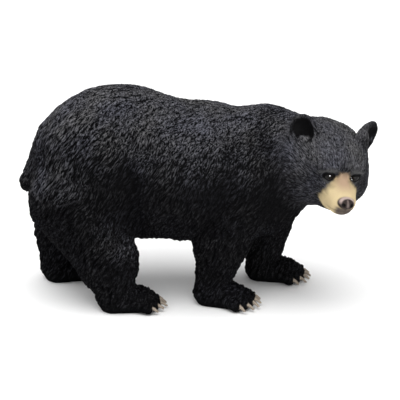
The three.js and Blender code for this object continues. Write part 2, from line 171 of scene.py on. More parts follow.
@dataclass(frozen=True)
class Bar:
    """A round bar whose radius runs from its start to its end."""

    start: Triple
    end: Triple
    radii: Pair
    wide: float
    blend: float
    place: Place = BODY
    join: Join = Join.ADD

    def ball(self) -> tuple[Array, float]:
        """The centre and radius of a ball around the form.

        Returns:
            The centre in the body's frame, and the radius.
        """
        start, end = np.array(self.start), np.array(self.end)
        half = float(np.linalg.norm(end - start)) / 2.0
        return self.place.world((start + end) / 2.0), half + max(self.radii) * max(1.0, self.wide)

    def distance(self, points: Array) -> Array:
        """Nearly the signed distance: the gap to the nearest axis point less the radius there.

        Args:
            points: Body points, one per row.

        Returns:
            A number per point, negative inside.
        """
        axis = np.array(self.end) - np.array(self.start)
        away = self.place.local(points) - self.start
        t = np.clip(away @ axis / (axis @ axis), 0.0, 1.0)
        away -= t[:, None] * axis
        away[:, 1] /= self.wide
        return (lengths(away) - self.radii[0] - t * (self.radii[1] - self.radii[0])) * min(1.0, self.wide)


Form = Ellipsoid | Bar


@dataclass(frozen=True)
class Trunk:
    """Rump, barrel, chest, withers, neck and tail."""

    rump: Ellipsoid = Ellipsoid((-46, 0, 81), (50.6, 37, 45), 8)
    barrel: Ellipsoid = Ellipsoid((-5, 0, 76), (57, 38.5, 40.6), 8)
    chest: Ellipsoid = Ellipsoid((33, 0, 73.5), (31, 33, 35.5), 7)
    withers: Ellipsoid = Ellipsoid((40, 0, 102), (13, 14, 9), 5)
    neck: Bar = Bar((38, 0, 84), (61, -10, 85), (29, 24.5), 1, 8)
    tail: Bar = Bar((-88, 0, 99), (-99, 0, 69), (4, 5.5), 1.1, 4)

    def forms(self) -> list[Form]:
        """The trunk's forms in the order in which they join."""
        return [self.rump, self.barrel, self.chest, self.withers, self.neck, self.tail]


@dataclass(frozen=True)
class Leg:
    """A leg of two tapering bars with a toed and clawed paw; the heading is in degrees."""

    joints: tuple[Triple, Triple, Triple]
    radii: Triple
    wide: float
    heel: Pair
    heading: float
    blend: float = 5.0
    paw_radii: Pair = (9.6, 7.4)
    paw_heights: Pair = (5.4, 4.4)
    ball_ahead: float = 16.5
    paw_wide: float = 1.25
    toe_count: int = 5
    toe_radius: float = 3.1
    toe_ahead: float = 24.0
    toe_spread: float = 4.7
    toe_arc: float = 0.2
    toe_height: float = 3.4
    toe_blend: float = 0.5
    toe_length: float = 2.0
    toe_gather: float = 0.8
    toe_rise: float = 1.0
    claw_start: float = 0.5
    claw_length: float = 4.8
    claw_radius: float = 1.0
    claw_taper: Triple = (1.0, 0.85, 0.6)
    claw_splay: float = 0.12
    claw_rise: float = 0.8
    claw_drop: float = 2.4
    claw_blend: float = 0.15

    def paw(self) -> Place:
        """The paw's frame: X along the foot, origin under the heel."""
        return Place(turn(2, self.heading), np.array([*self.heel, 0.0]))

    def toes(self) -> list[Triple]:
        """Toe centres in the paw's frame, the outer ones set back along an arc.

        Returns:
            A point per toe, from right to left.
        """
        places = []
        for index in range(self.toe_count):
            across = (index - (self.toe_count - 1) / 2.0) * self.toe_spread
            ahead = self.toe_ahead - self.toe_arc / self.toe_spread * across * across
            places.append((ahead, across, self.toe_height))
        return places

    def claw_point(self, toe: Triple, share: float) -> Triple:
        """A point on a claw's axis.

        Args:
            toe: The toe's centre in the paw's frame.
            share: How far along the claw, from 0 to 1.

        Returns:
            The point in the paw's frame; it falls with the square of the share.
        """
        ahead = toe[0] + self.claw_start * self.toe_radius + self.claw_length * share
        height = toe[2] + self.claw_rise - self.claw_drop * share * share
        return ahead, toe[1] * (1.0 + self.claw_splay * share), height

    def claws(self) -> list[Form]:
        """Each claw as two tapering bars that curve down from the toe.

        Returns:
            Two bars per claw, in the order in which they join.
        """
        forms: list[Form] = []
        sizes = tuple(share * self.claw_radius for share in self.claw_taper)
        for toe in self.toes():
            root, middle, tip = (self.claw_point(toe, share) for share in (0.0, 0.5, 1.0))
            forms.append(Bar(root, middle, sizes[:2], 1.0, self.claw_blend, self.paw()))
            forms.append(Bar(middle, tip, sizes[1:], 1.0, self.claw_blend, self.paw()))
        return forms

    def forms(self) -> list[Form]:
        """The leg's bars, its paw and its toes.

        Returns:
            The forms in the order in which they join.
        """
        forms: list[Form] = []
        for index in range(2):
            radii = self.radii[index], self.radii[index + 1]
            forms.append(Bar(self.joints[index], self.joints[index + 1], radii, self.wide, self.blend))
        heel = (0.0, 0.0, self.paw_heights[0])
        ball = (self.ball_ahead, 0.0, self.paw_heights[1])
        forms.append(Bar(heel, ball, self.paw_radii, self.paw_wide, self.blend / 2.0, self.paw()))
        for toe in self.toes():
            behind = toe[0] - self.toe_length * self.toe_radius
            root = (behind, self.toe_gather * toe[1], toe[2] + self.toe_rise)
            forms.append(Bar(root, toe, (self.toe_radius, self.toe_radius), 1.0, self.toe_blend, self.paw()))
        return forms


LEGS: tuple[Leg, ...] = (
    Leg(((-68, -13, 62), (-53.5, -24, 29), (-49.5, -25, 13)), (30, 16.3, 12), 0.8, (-49.5, -25), -4),
    Leg(((-70, 13, 62), (-82, 20, 32), (-84.5, 22, 13)), (29, 15.5, 12), 0.8, (-86, 22), 4),
    Leg(((24, -14, 72), (12.2, -17, 37), (8, -15, 14)), (25, 14.2, 10.3), 0.85, (7, -15), -27),
    Leg(((36, 13, 70), (40, 21, 38), (38.5, 23.5, 14)), (24, 13.8, 10.3), 0.85, (38, 24), -20),
)


@dataclass(frozen=True)
class Band:
    """A painted band across the face, along a bent line of places out from the middle and their heights."""

    outs: Triple
    heights: Triple
    edge: Pair
    inner: Pair
    outer: Pair
    strength: float

    def share(self, out: Array, up: Array) -> Array:
        """How far the band covers each point: the S curve of the distance from its line, faded at both ends.

        Args:
            out: Distances out from the face's middle.
            up: Heights in the head's frame.

        Returns:
            A number from 0 to 1 per point.
        """
        across = smoothstep(*self.edge, np.abs(up - np.interp(out, self.outs, self.heights)))
        return self.strength * across * smoothstep(*self.inner, out) * smoothstep(*self.outer, out)


@dataclass(frozen=True)
class Head:
    """The head in its own frame: +X to the nose, +Y to its left, +Z to the crown."""

    centre: Triple = (74, -22, 87.5)
    yaw: float = -78.0
    pitch: float = 16.0
    roll: float = -8.0
    skull: Mass = ((-2, 0, 2), (24, 20.5, 18.5), 9)
    throat: Mass = ((-4, 0, -13.5), (16, 19, 12.5), 8)
    brow: Mass = ((11, 0, 5.4), (9.6, 13.5, 8), 6)
    cheek: Mass = ((3, 11, -8.5), (15, 11, 13), 6)
    muzzle: Rod = ((12, 0, -4.5), (28.8, 0, -7), (12, 7.2), 1.06, 4)
    jaw: Rod = ((12, 0, -13.4), (26.5, 0, -10.4), (8.8, 5), 1.3, 2)
    brow_ridge: Mass = ((17.4, 8, 7.8), (4.4, 5.2, 2.1), 3)
    eye_socket: Mass = ((22.8, 8, 3), (4, 4.4, 3.2), 3)
    nose: Triple = (34.2, 0, -4.4)
    nose_radii: Triple = (4.2, 4.5, 2.9)
    nose_blend: float = 0.8
    pad_axis: Triple = (0.9, 0, 0.43)
    pad_edge: Pair = (0.8, 0.1)
    # The upper rim of the nose and the ridge between the nostrils carry a painted highlight.
    rim_angles: tuple[Pair, Pair] = ((50.0, 66.0), (96.0, 80.0))
    rim_top: Pair = (-0.2, 0.5)
    septum_paint: float = 0.3
    septum_edge: Pair = (0.22, 0.08)
    septum_angles: Pair = (50.0, 30.0)
    nostril: Triple = (37.5, 2.4, -4.0)
    nostril_radii: Triple = (1.5, 0.95, 0.75)
    hole_edge: Pair = (0.5, 0.0)
    eye: Triple = (18.9, 7.5, 3.3)
    eye_radius: float = 2.6
    eye_blend: float = 0.15
    ear: Triple = (-4, 18.6, 16)
    ear_facing: Triple = (0.7, 0.6, 0.1)
    ear_splay: Pair = (80.0, 28.0)
    ear_radii: Triple = (2.8, 9, 11)
    ear_hollow: Triple = (3.6, 6.6, 7.8)
    ear_hollow_centre: Triple = (3.2, 0, 1.8)
    tuft: Triple = (1.2, 0, -7.2)
    tuft_radii: Triple = (3.8, 7.2, 5)
    tuft_edge: Pair = (0.4, 1.4)
    ear_blends: Triple = (2.2, 1.1, 2.5)
    lid_radius: float = 3.2
    lid_blend: float = 1.6
    lid_gap: Triple = (21.3, 7.6, 3.3)
    lid_gap_radii: Triple = (2.4, 2.8, 1.6)
    lid_gap_blend: float = 0.3
    lid_edge: Pair = (0.75, 0.3)
    upper_lid: Band = Band((4.0, 10.0, 13.5), (7.9, 7.6, 3.6), (2.2, 0.3), (2.8, 5.0), (15.0, 11.5), 1.0)
    lower_lid: Band = Band((4.5, 7.5, 11.0), (1.6, -0.3, 1.2), (1.3, 0.5), (4.6, 6.0), (11.5, 9.5), 0.8)
    lid_start: float = 13.0
    lid_reach: Pair = (30.0, 34.0)
    patch_heights: tuple[float, ...] = (-16.0, -11.4, -5.9, -2.2, 0.9, 4.9, 6.9)
    patch_halves: tuple[float, ...] = (12.0, 10.4, 9.8, 8.6, 5.4, 3.3, 2.0)
    patch_backs: tuple[float, ...] = (22.5, 19.6, 20.4, 19.5, 17.0, 17.0, 17.0)
    patch_waves: tuple[Triple, Triple] = ((0.2, 1.9, 1.1), (0.15, -1.3, 3.1))
    patch_edge: Pair = (-1.1, 1.0)
    patch_start: float = 12.0
    patch_half: float = 14.0
    patch_reach: Pair = (44.0, 46.0)
    mouth_height: float = -9.0
    mouth_slant: float = 0.25
    mouth_front: float = 37.0
    mouth_corner: float = 23.0
    mouth_fade: float = 5.0
    mouth_width: float = 0.5
    mouth_depth: float = 0.35
    mouth_reach: Pair = (46.0, 48.0)
    lip_fold_width: float = 0.45
    lip_fold_front: Pair = (34.0, 35.0)
    lip_fold_drop: float = 2.5

    def place(self) -> Place:
        """The head's frame: turned by yaw, pitch and roll about its centre."""
        axes = turn(2, self.yaw) @ turn(1, self.pitch) @ turn(0, self.roll)
        return Place(axes, np.array(self.centre, float))

    def side(self, point: Triple, side: int) -> Triple:
        """A point on the head's left (1) or right (-1)."""
        return point[0], side * point[1], point[2]

    def ear_place(self, side: int) -> Place:
        """An ear's frame: X out of its hollow, Z along it.

        Args:
            side: 1 for the left ear, -1 for the right.

        Returns:
            The frame, in the body's coordinates.
        """
        splay = math.radians(self.ear_splay[0] if side > 0 else self.ear_splay[1])
        facing = np.array(self.side(self.ear_facing, side))
        facing /= np.linalg.norm(facing)
        across = np.cross((0.0, side * math.sin(splay), math.cos(splay)), facing)
        across /= np.linalg.norm(across)
        local = np.stack([facing, across, np.cross(facing, across)], axis=1)
        head = self.place()
        return Place(head.axes @ local, head.world(np.array(self.side(self.ear, side))))

    def pair(self, mass: Mass, join: Join = Join.ADD) -> list[Form]:
        """A mass on the head's left and its mirror image on the right."""
        centre, radii, blend = mass
        return [Ellipsoid(self.side(centre, s), radii, blend, self.place(), join) for s in SIDES]

    def forms(self) -> list[Form]:
        """The head's forms in the order in which they join.

        Returns:
            The masses added and the hollows cut.
        """
        at, cut = self.place(), Join.CUT
        forms: list[Form] = [Ellipsoid(*mass, at) for mass in (self.skull, self.throat, self.brow)]
        forms += self.pair(self.cheek)
        forms += [Bar(*self.muzzle, at), Bar(*self.jaw, at)]
        forms.append(Ellipsoid(self.nose, self.nose_radii, self.nose_blend, at))
        forms += self.pair((self.nostril, self.nostril_radii, self.nose_blend), cut)
        forms += self.pair(self.brow_ridge)
        forms += self.pair(self.eye_socket, cut)
        forms += self.pair((self.eye, (self.lid_radius,) * 3, self.lid_blend))
        forms += self.pair((self.lid_gap, self.lid_gap_radii, self.lid_gap_blend), cut)
        forms += self.pair((self.eye, (self.eye_radius,) * 3, self.eye_blend))
        shell, hollow, tuft = self.ear_blends
        for s in SIDES:
            ear = self.ear_place(s)
            forms.append(Ellipsoid((0, 0, 0), self.ear_radii, shell, ear))
            forms.append(Ellipsoid(self.ear_hollow_centre, self.ear_hollow, hollow, ear, cut))
            forms.append(Ellipsoid(self.tuft, self.tuft_radii, tuft, ear))
        return forms

    def nearness(self, points: Array, low: float, high: float) -> Array:
        """1 within low of the head's centre, falling to 0 at high."""
        return 1.0 - smoothstep(low, high, lengths(points - self.centre))

    def patch(self, points: Array) -> Array:
        """How far the pale muzzle paint covers each point.

        Its edge runs down from the brow past the eyes' inner corners, widening, and then back to the
        mouth's corners: at each height it has a half width and a rearmost place. The paint is the S curve
        of the least distance inside these, made uneven by two small waves.

        Args:
            points: Body points, one per row.

        Returns:
            A number from 0 to 1 per point.
        """
        x, y, z = self.place().local(points).T
        half = np.interp(z, self.patch_heights, self.patch_halves)
        back = np.interp(z, self.patch_heights, self.patch_backs)
        inside = np.minimum.reduce([half - np.abs(y), x - back, self.patch_heights[-1] - z])
        for height, across, up in self.patch_waves:
            inside = inside + height * np.sin(across * y + up * z)
        kept = (np.abs(y) < self.patch_half) & (x > self.patch_start)
        return smoothstep(*self.patch_edge, inside) * self.nearness(points, *self.patch_reach) * kept

    def eye_gap(self, points: Array) -> Array:
        """Distance from each point to the centre of the nearer eye."""
        local = self.place().local(points)
        return np.minimum(*(lengths(local - self.side(self.eye, s)) for s in SIDES))

    def pair_gap(self, centre: Triple, radii: Triple, points: Array) -> Array:
        """Distance from each point to the nearer of two mirrored ellipsoids."""
        return np.minimum(*(form.distance(points) for form in self.pair((centre, radii, 0.0))))

    def lid_line(self, points: Array) -> Array:
        """1 on the lids' edges around the eyes' openings and 0 off them."""
        return smoothstep(*self.lid_edge, self.pair_gap(self.lid_gap, self.lid_gap_radii, points))

    def lids(self, points: Array) -> Array:
        """1 on the smooth ridges over the eyes and on the lower lids: the stronger of the two bands.

        Args:
            points: Body points, one per row.

        Returns:
            A number from 0 to 1 per point.
        """
        x, y, z = self.place().local(points).T
        bands = (band.share(np.abs(y), z) for band in (self.upper_lid, self.lower_lid))
        return np.maximum(*bands) * (x > self.lid_start) * self.nearness(points, *self.lid_reach)

    def nose_pad(self, points: Array) -> Array:
        """1 on the nose's pad and 0 off it, with a narrow edge."""
        pad = Ellipsoid(self.nose, self.nose_radii, 0.0, self.place())
        return smoothstep(*self.pad_edge, pad.distance(points))

    def nose_painted_highlight(self, points: Array) -> Array:
        """Where the painted highlight goes: 1 on the upper part of the nose's rim and on the ridge between
        the nostrils, by the angle from the pad's axis.

        Args:
            points: Body points, one per row.

        Returns:
            A number from 0 to 1 per point.
        """
        away = unit(self.place().local(points) - self.nose)
        angle = np.degrees(np.arccos(np.clip(away @ self.pad_axis, -1.0, 1.0)))
        inner, outer = self.rim_angles
        rim = smoothstep(*inner, angle) * smoothstep(*outer, angle) * smoothstep(*self.rim_top, away[:, 2])
        septum = self.septum_paint * smoothstep(*self.septum_edge, np.abs(away[:, 1]))
        return np.maximum(rim, septum * smoothstep(*self.septum_angles, angle))

    def nostrils(self, points: Array) -> Array:
        """1 in the nostrils and 0 off them."""
        return smoothstep(*self.hole_edge, self.pair_gap(self.nostril, self.nostril_radii, points))

    def mouth(self, points: Array) -> Array:
        """1 on the line between the lips, which slants back and down to the corners, and under the nose.

        Args:
            points: Body points, one per row.

        Returns:
            A number from 0 to 1 per point.
        """
        x, y, z = self.place().local(points).T
        line = self.mouth_height - self.mouth_slant * (self.mouth_front - x)
        lips = np.exp(-(((z - line) / self.mouth_width) ** 2))
        lips = lips * smoothstep(self.mouth_corner, self.mouth_corner + self.mouth_fade, x)
        fold = np.exp(-((y / self.lip_fold_width) ** 2)) * smoothstep(*self.lip_fold_front, x)
        fold = fold * (z < self.nose[2] - self.lip_fold_drop) * (z > line)
        return np.maximum(lips, fold) * self.nearness(points, *self.mouth_reach)

    def ear_inside(self, points: Array) -> Array:
        """1 in the ears' hollows and 0 off them and on the tufts at their feet.

        Args:
            points: Body points, one per row.

        Returns:
            A number from 0 to 1 per point.
        """
        inside = np.zeros(len(points))
        for s in SIDES:
            ear = self.ear_place(s)
            hollow = Ellipsoid(self.ear_hollow_centre, self.ear_hollow, 0.0, ear).distance(points)
            tuft = Ellipsoid(self.tuft, self.tuft_radii, 0.0, ear).distance(points)
            own = smoothstep(*self.hole_edge, hollow) * smoothstep(*self.tuft_edge, tuft)
            inside = np.maximum(inside, own)
        return inside


class Figure:
    """The whole bare figure as a field of nearly signed distance."""

    FAR = 50.0
    MARGIN = 3.0
    LEAST_SLOPE = 0.1
    LONGEST_STEP = 1.0

    def __init__(self) -> None:
        """Gather the forms of the trunk, the legs, the head and the claws."""
        self.head = Head()
        self.claws = [claw for leg in LEGS for claw in leg.claws()]
        self.forms: list[Form] = Trunk().forms()
        for leg in LEGS:
            self.forms += leg.forms()
        self.forms += self.head.forms() + self.claws

    def near(self, form: Form, points: Array, margin: float) -> Array:
        """Indices of the points within a margin of a form's ball.

        Args:
            form: The form.
            points: Body points, one per row.
            margin: How far past the ball, in millimetres.

        Returns:
            Point numbers.
        """
        centre, radius = form.ball()
        away = points - centre
        return np.flatnonzero(dots(away, away) < (radius + margin) ** 2)

    def distance(self, points: Array) -> Array:
        """The forms joined in turn by the smooth minimum or cut by the smooth maximum, flat at the ground.

        Args:
            points: Body points, one per row.

        Returns:
            A number per point, negative inside.
        """
        total = np.full(len(points), self.FAR)
        for form in self.forms:
            chosen = self.near(form, points, form.blend + self.MARGIN)
            if not len(chosen):
                continue
            own = form.distance(points[chosen])
            before = total[chosen]
            overlap = np.maximum(form.blend - np.abs(before - form.join.value * own), 0.0)
            seam = overlap * overlap / (4.0 * form.blend)
            if form.join is Join.ADD:
                total[chosen] = np.minimum(before, own) - seam
            else:
                total[chosen] = np.maximum(before, -own) + seam
        return np.maximum(total, -points[:, 2])

    def slope(self, points: Array) -> tuple[Array, Array]:
        """The field's value and its gradient, from four samples at the corners of a small tetrahedron.

        Args:
            points: Body points, one per row.

        Returns:
            The values and the gradients.
        """
        corners = np.array([[1, -1, -1], [-1, -1, 1], [-1, 1, -1], [1, 1, 1]], float)
        samples = [self.distance(points + SLOPE_STEP * corner) for corner in corners]
        gradient = sum(s[:, None] * corner for s, corner in zip(samples, corners)) / (4.0 * SLOPE_STEP)
        return sum(samples) / 4.0, gradient

    def settle(self, points: Array, passes: int = 2) -> Array:
        """Points moved along the gradient onto the surface.

        Args:
            points: Body points, one per row.
            passes: How many steps to take.

        Returns:
            The moved points.
        """
        for _ in range(passes):
            value, gradient = self.slope(points)
            step = value / np.maximum(dots(gradient, gradient), self.LEAST_SLOPE)
            points = points - np.clip(step[:, None] * gradient, -self.LONGEST_STEP, self.LONGEST_STEP)
        return points

    def normals(self, points: Array) -> Array:
        """The outward unit normal at each point."""
        return unit(self.slope(points)[1])

    def claw_gap(self, points: Array) -> Array:
        """Distance from each point to the surface of the nearest claw."""
        return np.minimum.reduce([claw.distance(points) for claw in self.claws])


class SurfaceNet:
    """A closed net of quads on a figure's surface, with one vertex in each grid cell that it crosses."""

    CORNERS = np.array(list(itertools.product((0, 1), repeat=3)))
    FACES = ((0, 1, 1), (1, 0, 1), (1, 1, 0))
    CELL = (1, 1, 1)
    EDGES = [(a, b) for a in range(8) for b in range(a + 1, 8) if bin(a ^ b).count("1") == 1]
    FILL = 0.05

    def __init__(self, figure: Figure, step: float) -> None:
        """Sample the figure on a grid of the given step.

        Args:
            figure: The figure.
            step: The grid's step in millimetres.
        """
        self.figure = figure
        self.step = step
        self.shape = tuple(np.ceil((NET_HIGH - NET_LOW) / step).astype(int) + 1)

    def points_at(self, indices: Array) -> Array:
        """Body points at grid indices."""
        return NET_LOW + indices * self.step

    def sample(self) -> Array:
        """Distances on the grid: a block far from the surface takes its middle's value.

        Returns:
            A number per grid point, negative inside.
        """
        blocks = [np.arange(0, n, NET_BLOCK) + (NET_BLOCK - 1) / 2.0 for n in self.shape]
        middles = np.stack(np.meshgrid(*blocks, indexing="ij"), axis=-1).reshape(-1, 3)
        values = self.figure.distance(self.points_at(middles)).reshape([len(b) for b in blocks])
        for axis in range(3):
            values = np.repeat(values, NET_BLOCK, axis=axis)
        values = values[: self.shape[0], : self.shape[1], : self.shape[2]].copy()
        close = np.abs(values) < NET_BLOCK * self.step
        values[close] = self.figure.distance(self.points_at(np.argwhere(close)))
        return values

    @staticmethod
    def corner(grid: Array, offset: Array | tuple[int, ...], reach: Array | tuple[int, ...]) -> Array:
        """The part of a grid that is one corner of its faces or cells, as a view.

        Args:
            grid: Values at the grid points.
            offset: The corner's step along each axis, 0 or 1.
            reach: The face's or cell's steps along each axis, 0 or 1.

        Returns:
            The view.
        """
        return grid[tuple(slice(o, n - r + o) for o, n, r in zip(offset, grid.shape, reach))]

    def parted(self, inside: Array) -> Array:
        """The grid points to fill so that no two parts of the figure touch only at an edge or a corner.

        A face is filled if only its diagonal corners are alike, and a cell if two opposite corners differ
        from the other six.

        Args:
            inside: Whether each grid point is inside the figure.

        Returns:
            Whether each grid point is to be filled.
        """
        fill = np.zeros_like(inside)
        for reach in self.FACES:
            offsets = [offset for offset in self.CORNERS if (offset <= reach).all()]
            first, second, third, fourth = (self.corner(inside, o, reach) for o in offsets)
            crossed = (first == fourth) & (second == third) & (first != second)
            for offset in offsets:
                self.corner(fill, offset, reach)[crossed] = True
        corners = [self.corner(inside, offset, self.CELL) for offset in self.CORNERS]
        count = sum(c.astype(np.int8) for c in corners)
        for a in range(4):
            pair = corners[a] & corners[7 - a] & (count == 2)
            pair |= ~corners[a] & ~corners[7 - a] & (count == 6)
            for offset in self.CORNERS:
                self.corner(fill, offset, self.CELL)[pair] = True
        return fill & ~inside

    def build(self) -> tuple[Array, Array]:
        """The net's points, each the mean of its cell's edge crossings, and its quads.

        Returns:
            Points in millimetres and quads of point numbers, facing outwards.
        """
        values = self.sample()
        fill = self.parted(values < 0.0)
        while fill.any():
            values[fill] = -self.FILL * self.step
            fill = self.parted(values < 0.0)
        inside = values < 0.0
        count = sum(self.corner(inside, offset, self.CELL).astype(np.int8) for offset in self.CORNERS)
        active = np.argwhere((count > 0) & (count < 8))
        numbers = np.full(count.shape, -1)
        numbers[tuple(active.T)] = np.arange(len(active))
        corner = [values[tuple((active + c).T)] for c in self.CORNERS]
        total = np.zeros((len(active), 3))
        crossings = np.zeros(len(active))
        for a, b in self.EDGES:
            crossed = (corner[a] < 0.0) != (corner[b] < 0.0)
            t = np.where(crossed, corner[a] / np.where(crossed, corner[a] - corner[b], 1.0), 0.0)
            span = self.CORNERS[b] - self.CORNERS[a]
            total += crossed[:, None] * (self.CORNERS[a] + t[:, None] * span)
            crossings += crossed
        points = self.points_at(active + total / crossings[:, None])
        return points, np.concatenate([self.quads(inside, numbers, axis) for axis in range(3)])

    def quads(self, inside: Array, numbers: Array, axis: int) -> Array:
        """Quads around the grid edges along one axis that the surface crosses.

        Args:
            inside: Whether each grid point is inside the figure.
            numbers: The point number of each cell.
            axis: The edges' axis.

        Returns:
            Quads of point numbers, facing outwards.
        """
        steps = np.eye(3, dtype=int)
        along, b, c = steps[axis], steps[(axis + 1) % 3], steps[(axis + 2) % 3]
        first = self.corner(inside, (0, 0, 0), along)
        second = self.corner(inside, along, along)
        edges = np.argwhere(first != second)
        outward = first[tuple(edges.T)]
        around = [numbers[tuple((edges - s * b - t * c).T)] for s, t in ((0, 0), (1, 0), (1, 1), (0, 1))]
        quads = np.stack(around, axis=1)
        return np.where(outward[:, None], quads, quads[:, ::-1])


def split_quads(points: Array, quads: Array) -> tuple[Array, Array]:
    """Each quad cut into four at its edges' middles and its own.

    Args:
        points: The net's points.
        quads: Quads of point numbers.

    Returns:
        The finer net's points and quads.
    """
    count = len(points)
    edges = np.sort(quads[:, [[0, 1], [1, 2], [2, 3], [3, 0]]].reshape(-1, 2), axis=1)
    keys, inverse = np.unique(edges[:, 0] * count + edges[:, 1], return_inverse=True)
    middles = (points[keys // count] + points[keys % count]) / 2.0
    mid = count + inverse.reshape(-1, 4)
    centre = count + len(keys) + np.arange(len(quads))
    parts = [np.stack([quads[:, i], mid[:, i], centre, mid[:, i - 1]], axis=1) for i in range(4)]
    return np.concatenate([points, middles, points[quads].mean(axis=1)]), np.concatenate(parts)


def put(name: str, data: bpy.types.ID) -> bpy.types.Object:
    """A new object in the scene that holds some data.

    Args:
        name: The object's name.
        data: Its mesh, lamp or camera.

    Returns:
        The object.
    """
    thing = bpy.data.objects.new(name, data)
    bpy.context.scene.collection.objects.link(thing)
    return thing


def largest_part(count: int, edges: Array) -> Array:
    """Which points are in the largest joined part: each takes the lowest number that its edges lead to.

    Args:
        count: How many points there are.
        edges: Pairs of point numbers.

    Returns:
        A truth value per point.
    """
    labels = np.arange(count)
    settled = False
    while not settled:
        lower = labels.copy()
        np.minimum.at(lower, edges.ravel(), np.repeat(labels[edges].min(axis=1), 2))
        lower = lower[lower]
        settled = np.array_equal(lower, labels)
        labels = lower
    return labels == np.bincount(labels).argmax()


@dataclass(frozen=True)
class Carving:
    """One size of carved lock or stroke, in millimetres."""

    spacing: float
    length: float
    width: float
    height: float
    mean: float
    jitter: float
    sway: float


@dataclass
class Strokes:
    """Strokes laid on the surface: each has a place, a normal, its lie, the direction across and a size."""

    carving: Carving
    at: Array
    normal: Array
    along: Array
    across: Array
    size: Array

    CELL_SHARE = 0.62
    CELL_SPAN = 4096
    SWELL = 2.6
    NARROWEST = 1e-6

    def heights(self, points: Array) -> Array:
        """The highest stroke's height over each point, found through a grid of cells.

        A stroke swells from its root and falls away to a narrow tip: t times the root of 1 - t along it,
        and 1 - s squared across it.

        Args:
            points: Body points, one per row.

        Returns:
            Heights from 0 to 1, before the carving's own height.
        """
        keys = self.cell_keys(self.at)
        order = np.argsort(keys, kind="stable")
        keys = keys[order]
        own = self.cell_keys(points)
        best = np.zeros(len(points))
        for dx, dy, dz in itertools.product((-1, 0, 1), repeat=3):
            wanted = own + (dx * self.CELL_SPAN + dy) * self.CELL_SPAN + dz
            low = np.searchsorted(keys, wanted, "left")
            count = np.searchsorted(keys, wanted, "right") - low
            for rank in range(int(count.max(initial=0))):
                chosen = np.flatnonzero(count > rank)
                stroke = order[low[chosen] + rank]
                best[chosen] = np.maximum(best[chosen], self.profile(points[chosen], stroke))
        return best

    def cell_keys(self, points: Array) -> Array:
        """A whole number for the cell that each point is in.

        Args:
            points: Body points, one per row.

        Returns:
            The numbers.
        """
        cells = np.floor(points / (self.CELL_SHARE * self.carving.length)).astype(np.int64)
        x, y, z = cells.T + self.CELL_SPAN // 2
        return (x * self.CELL_SPAN + y) * self.CELL_SPAN + z

    def profile(self, points: Array, stroke: Array) -> Array:
        """The height of one stroke per point.

        Args:
            points: Body points, one per row.
            stroke: The stroke's number for each point.

        Returns:
            Heights from 0 to 1.
        """
        away = points - self.at[stroke]
        size = self.size[stroke]
        t = dots(away, self.along[stroke]) / (self.carving.length * size) + 0.5
        lift = np.abs(dots(away, self.normal[stroke]))
        on = (t > 0.0) & (t < 1.0) & (lift < self.carving.width)
        t = np.clip(t, 0.0, 1.0)
        half = 0.5 * self.carving.width * size * np.sqrt(np.maximum(1.0 - t * t, self.NARROWEST))
        s = dots(away, self.across[stroke]) / half
        height = self.SWELL * t * np.sqrt(1.0 - t) * np.maximum(1.0 - s * s, 0.0)
        return np.where(on, height * size, 0.0)


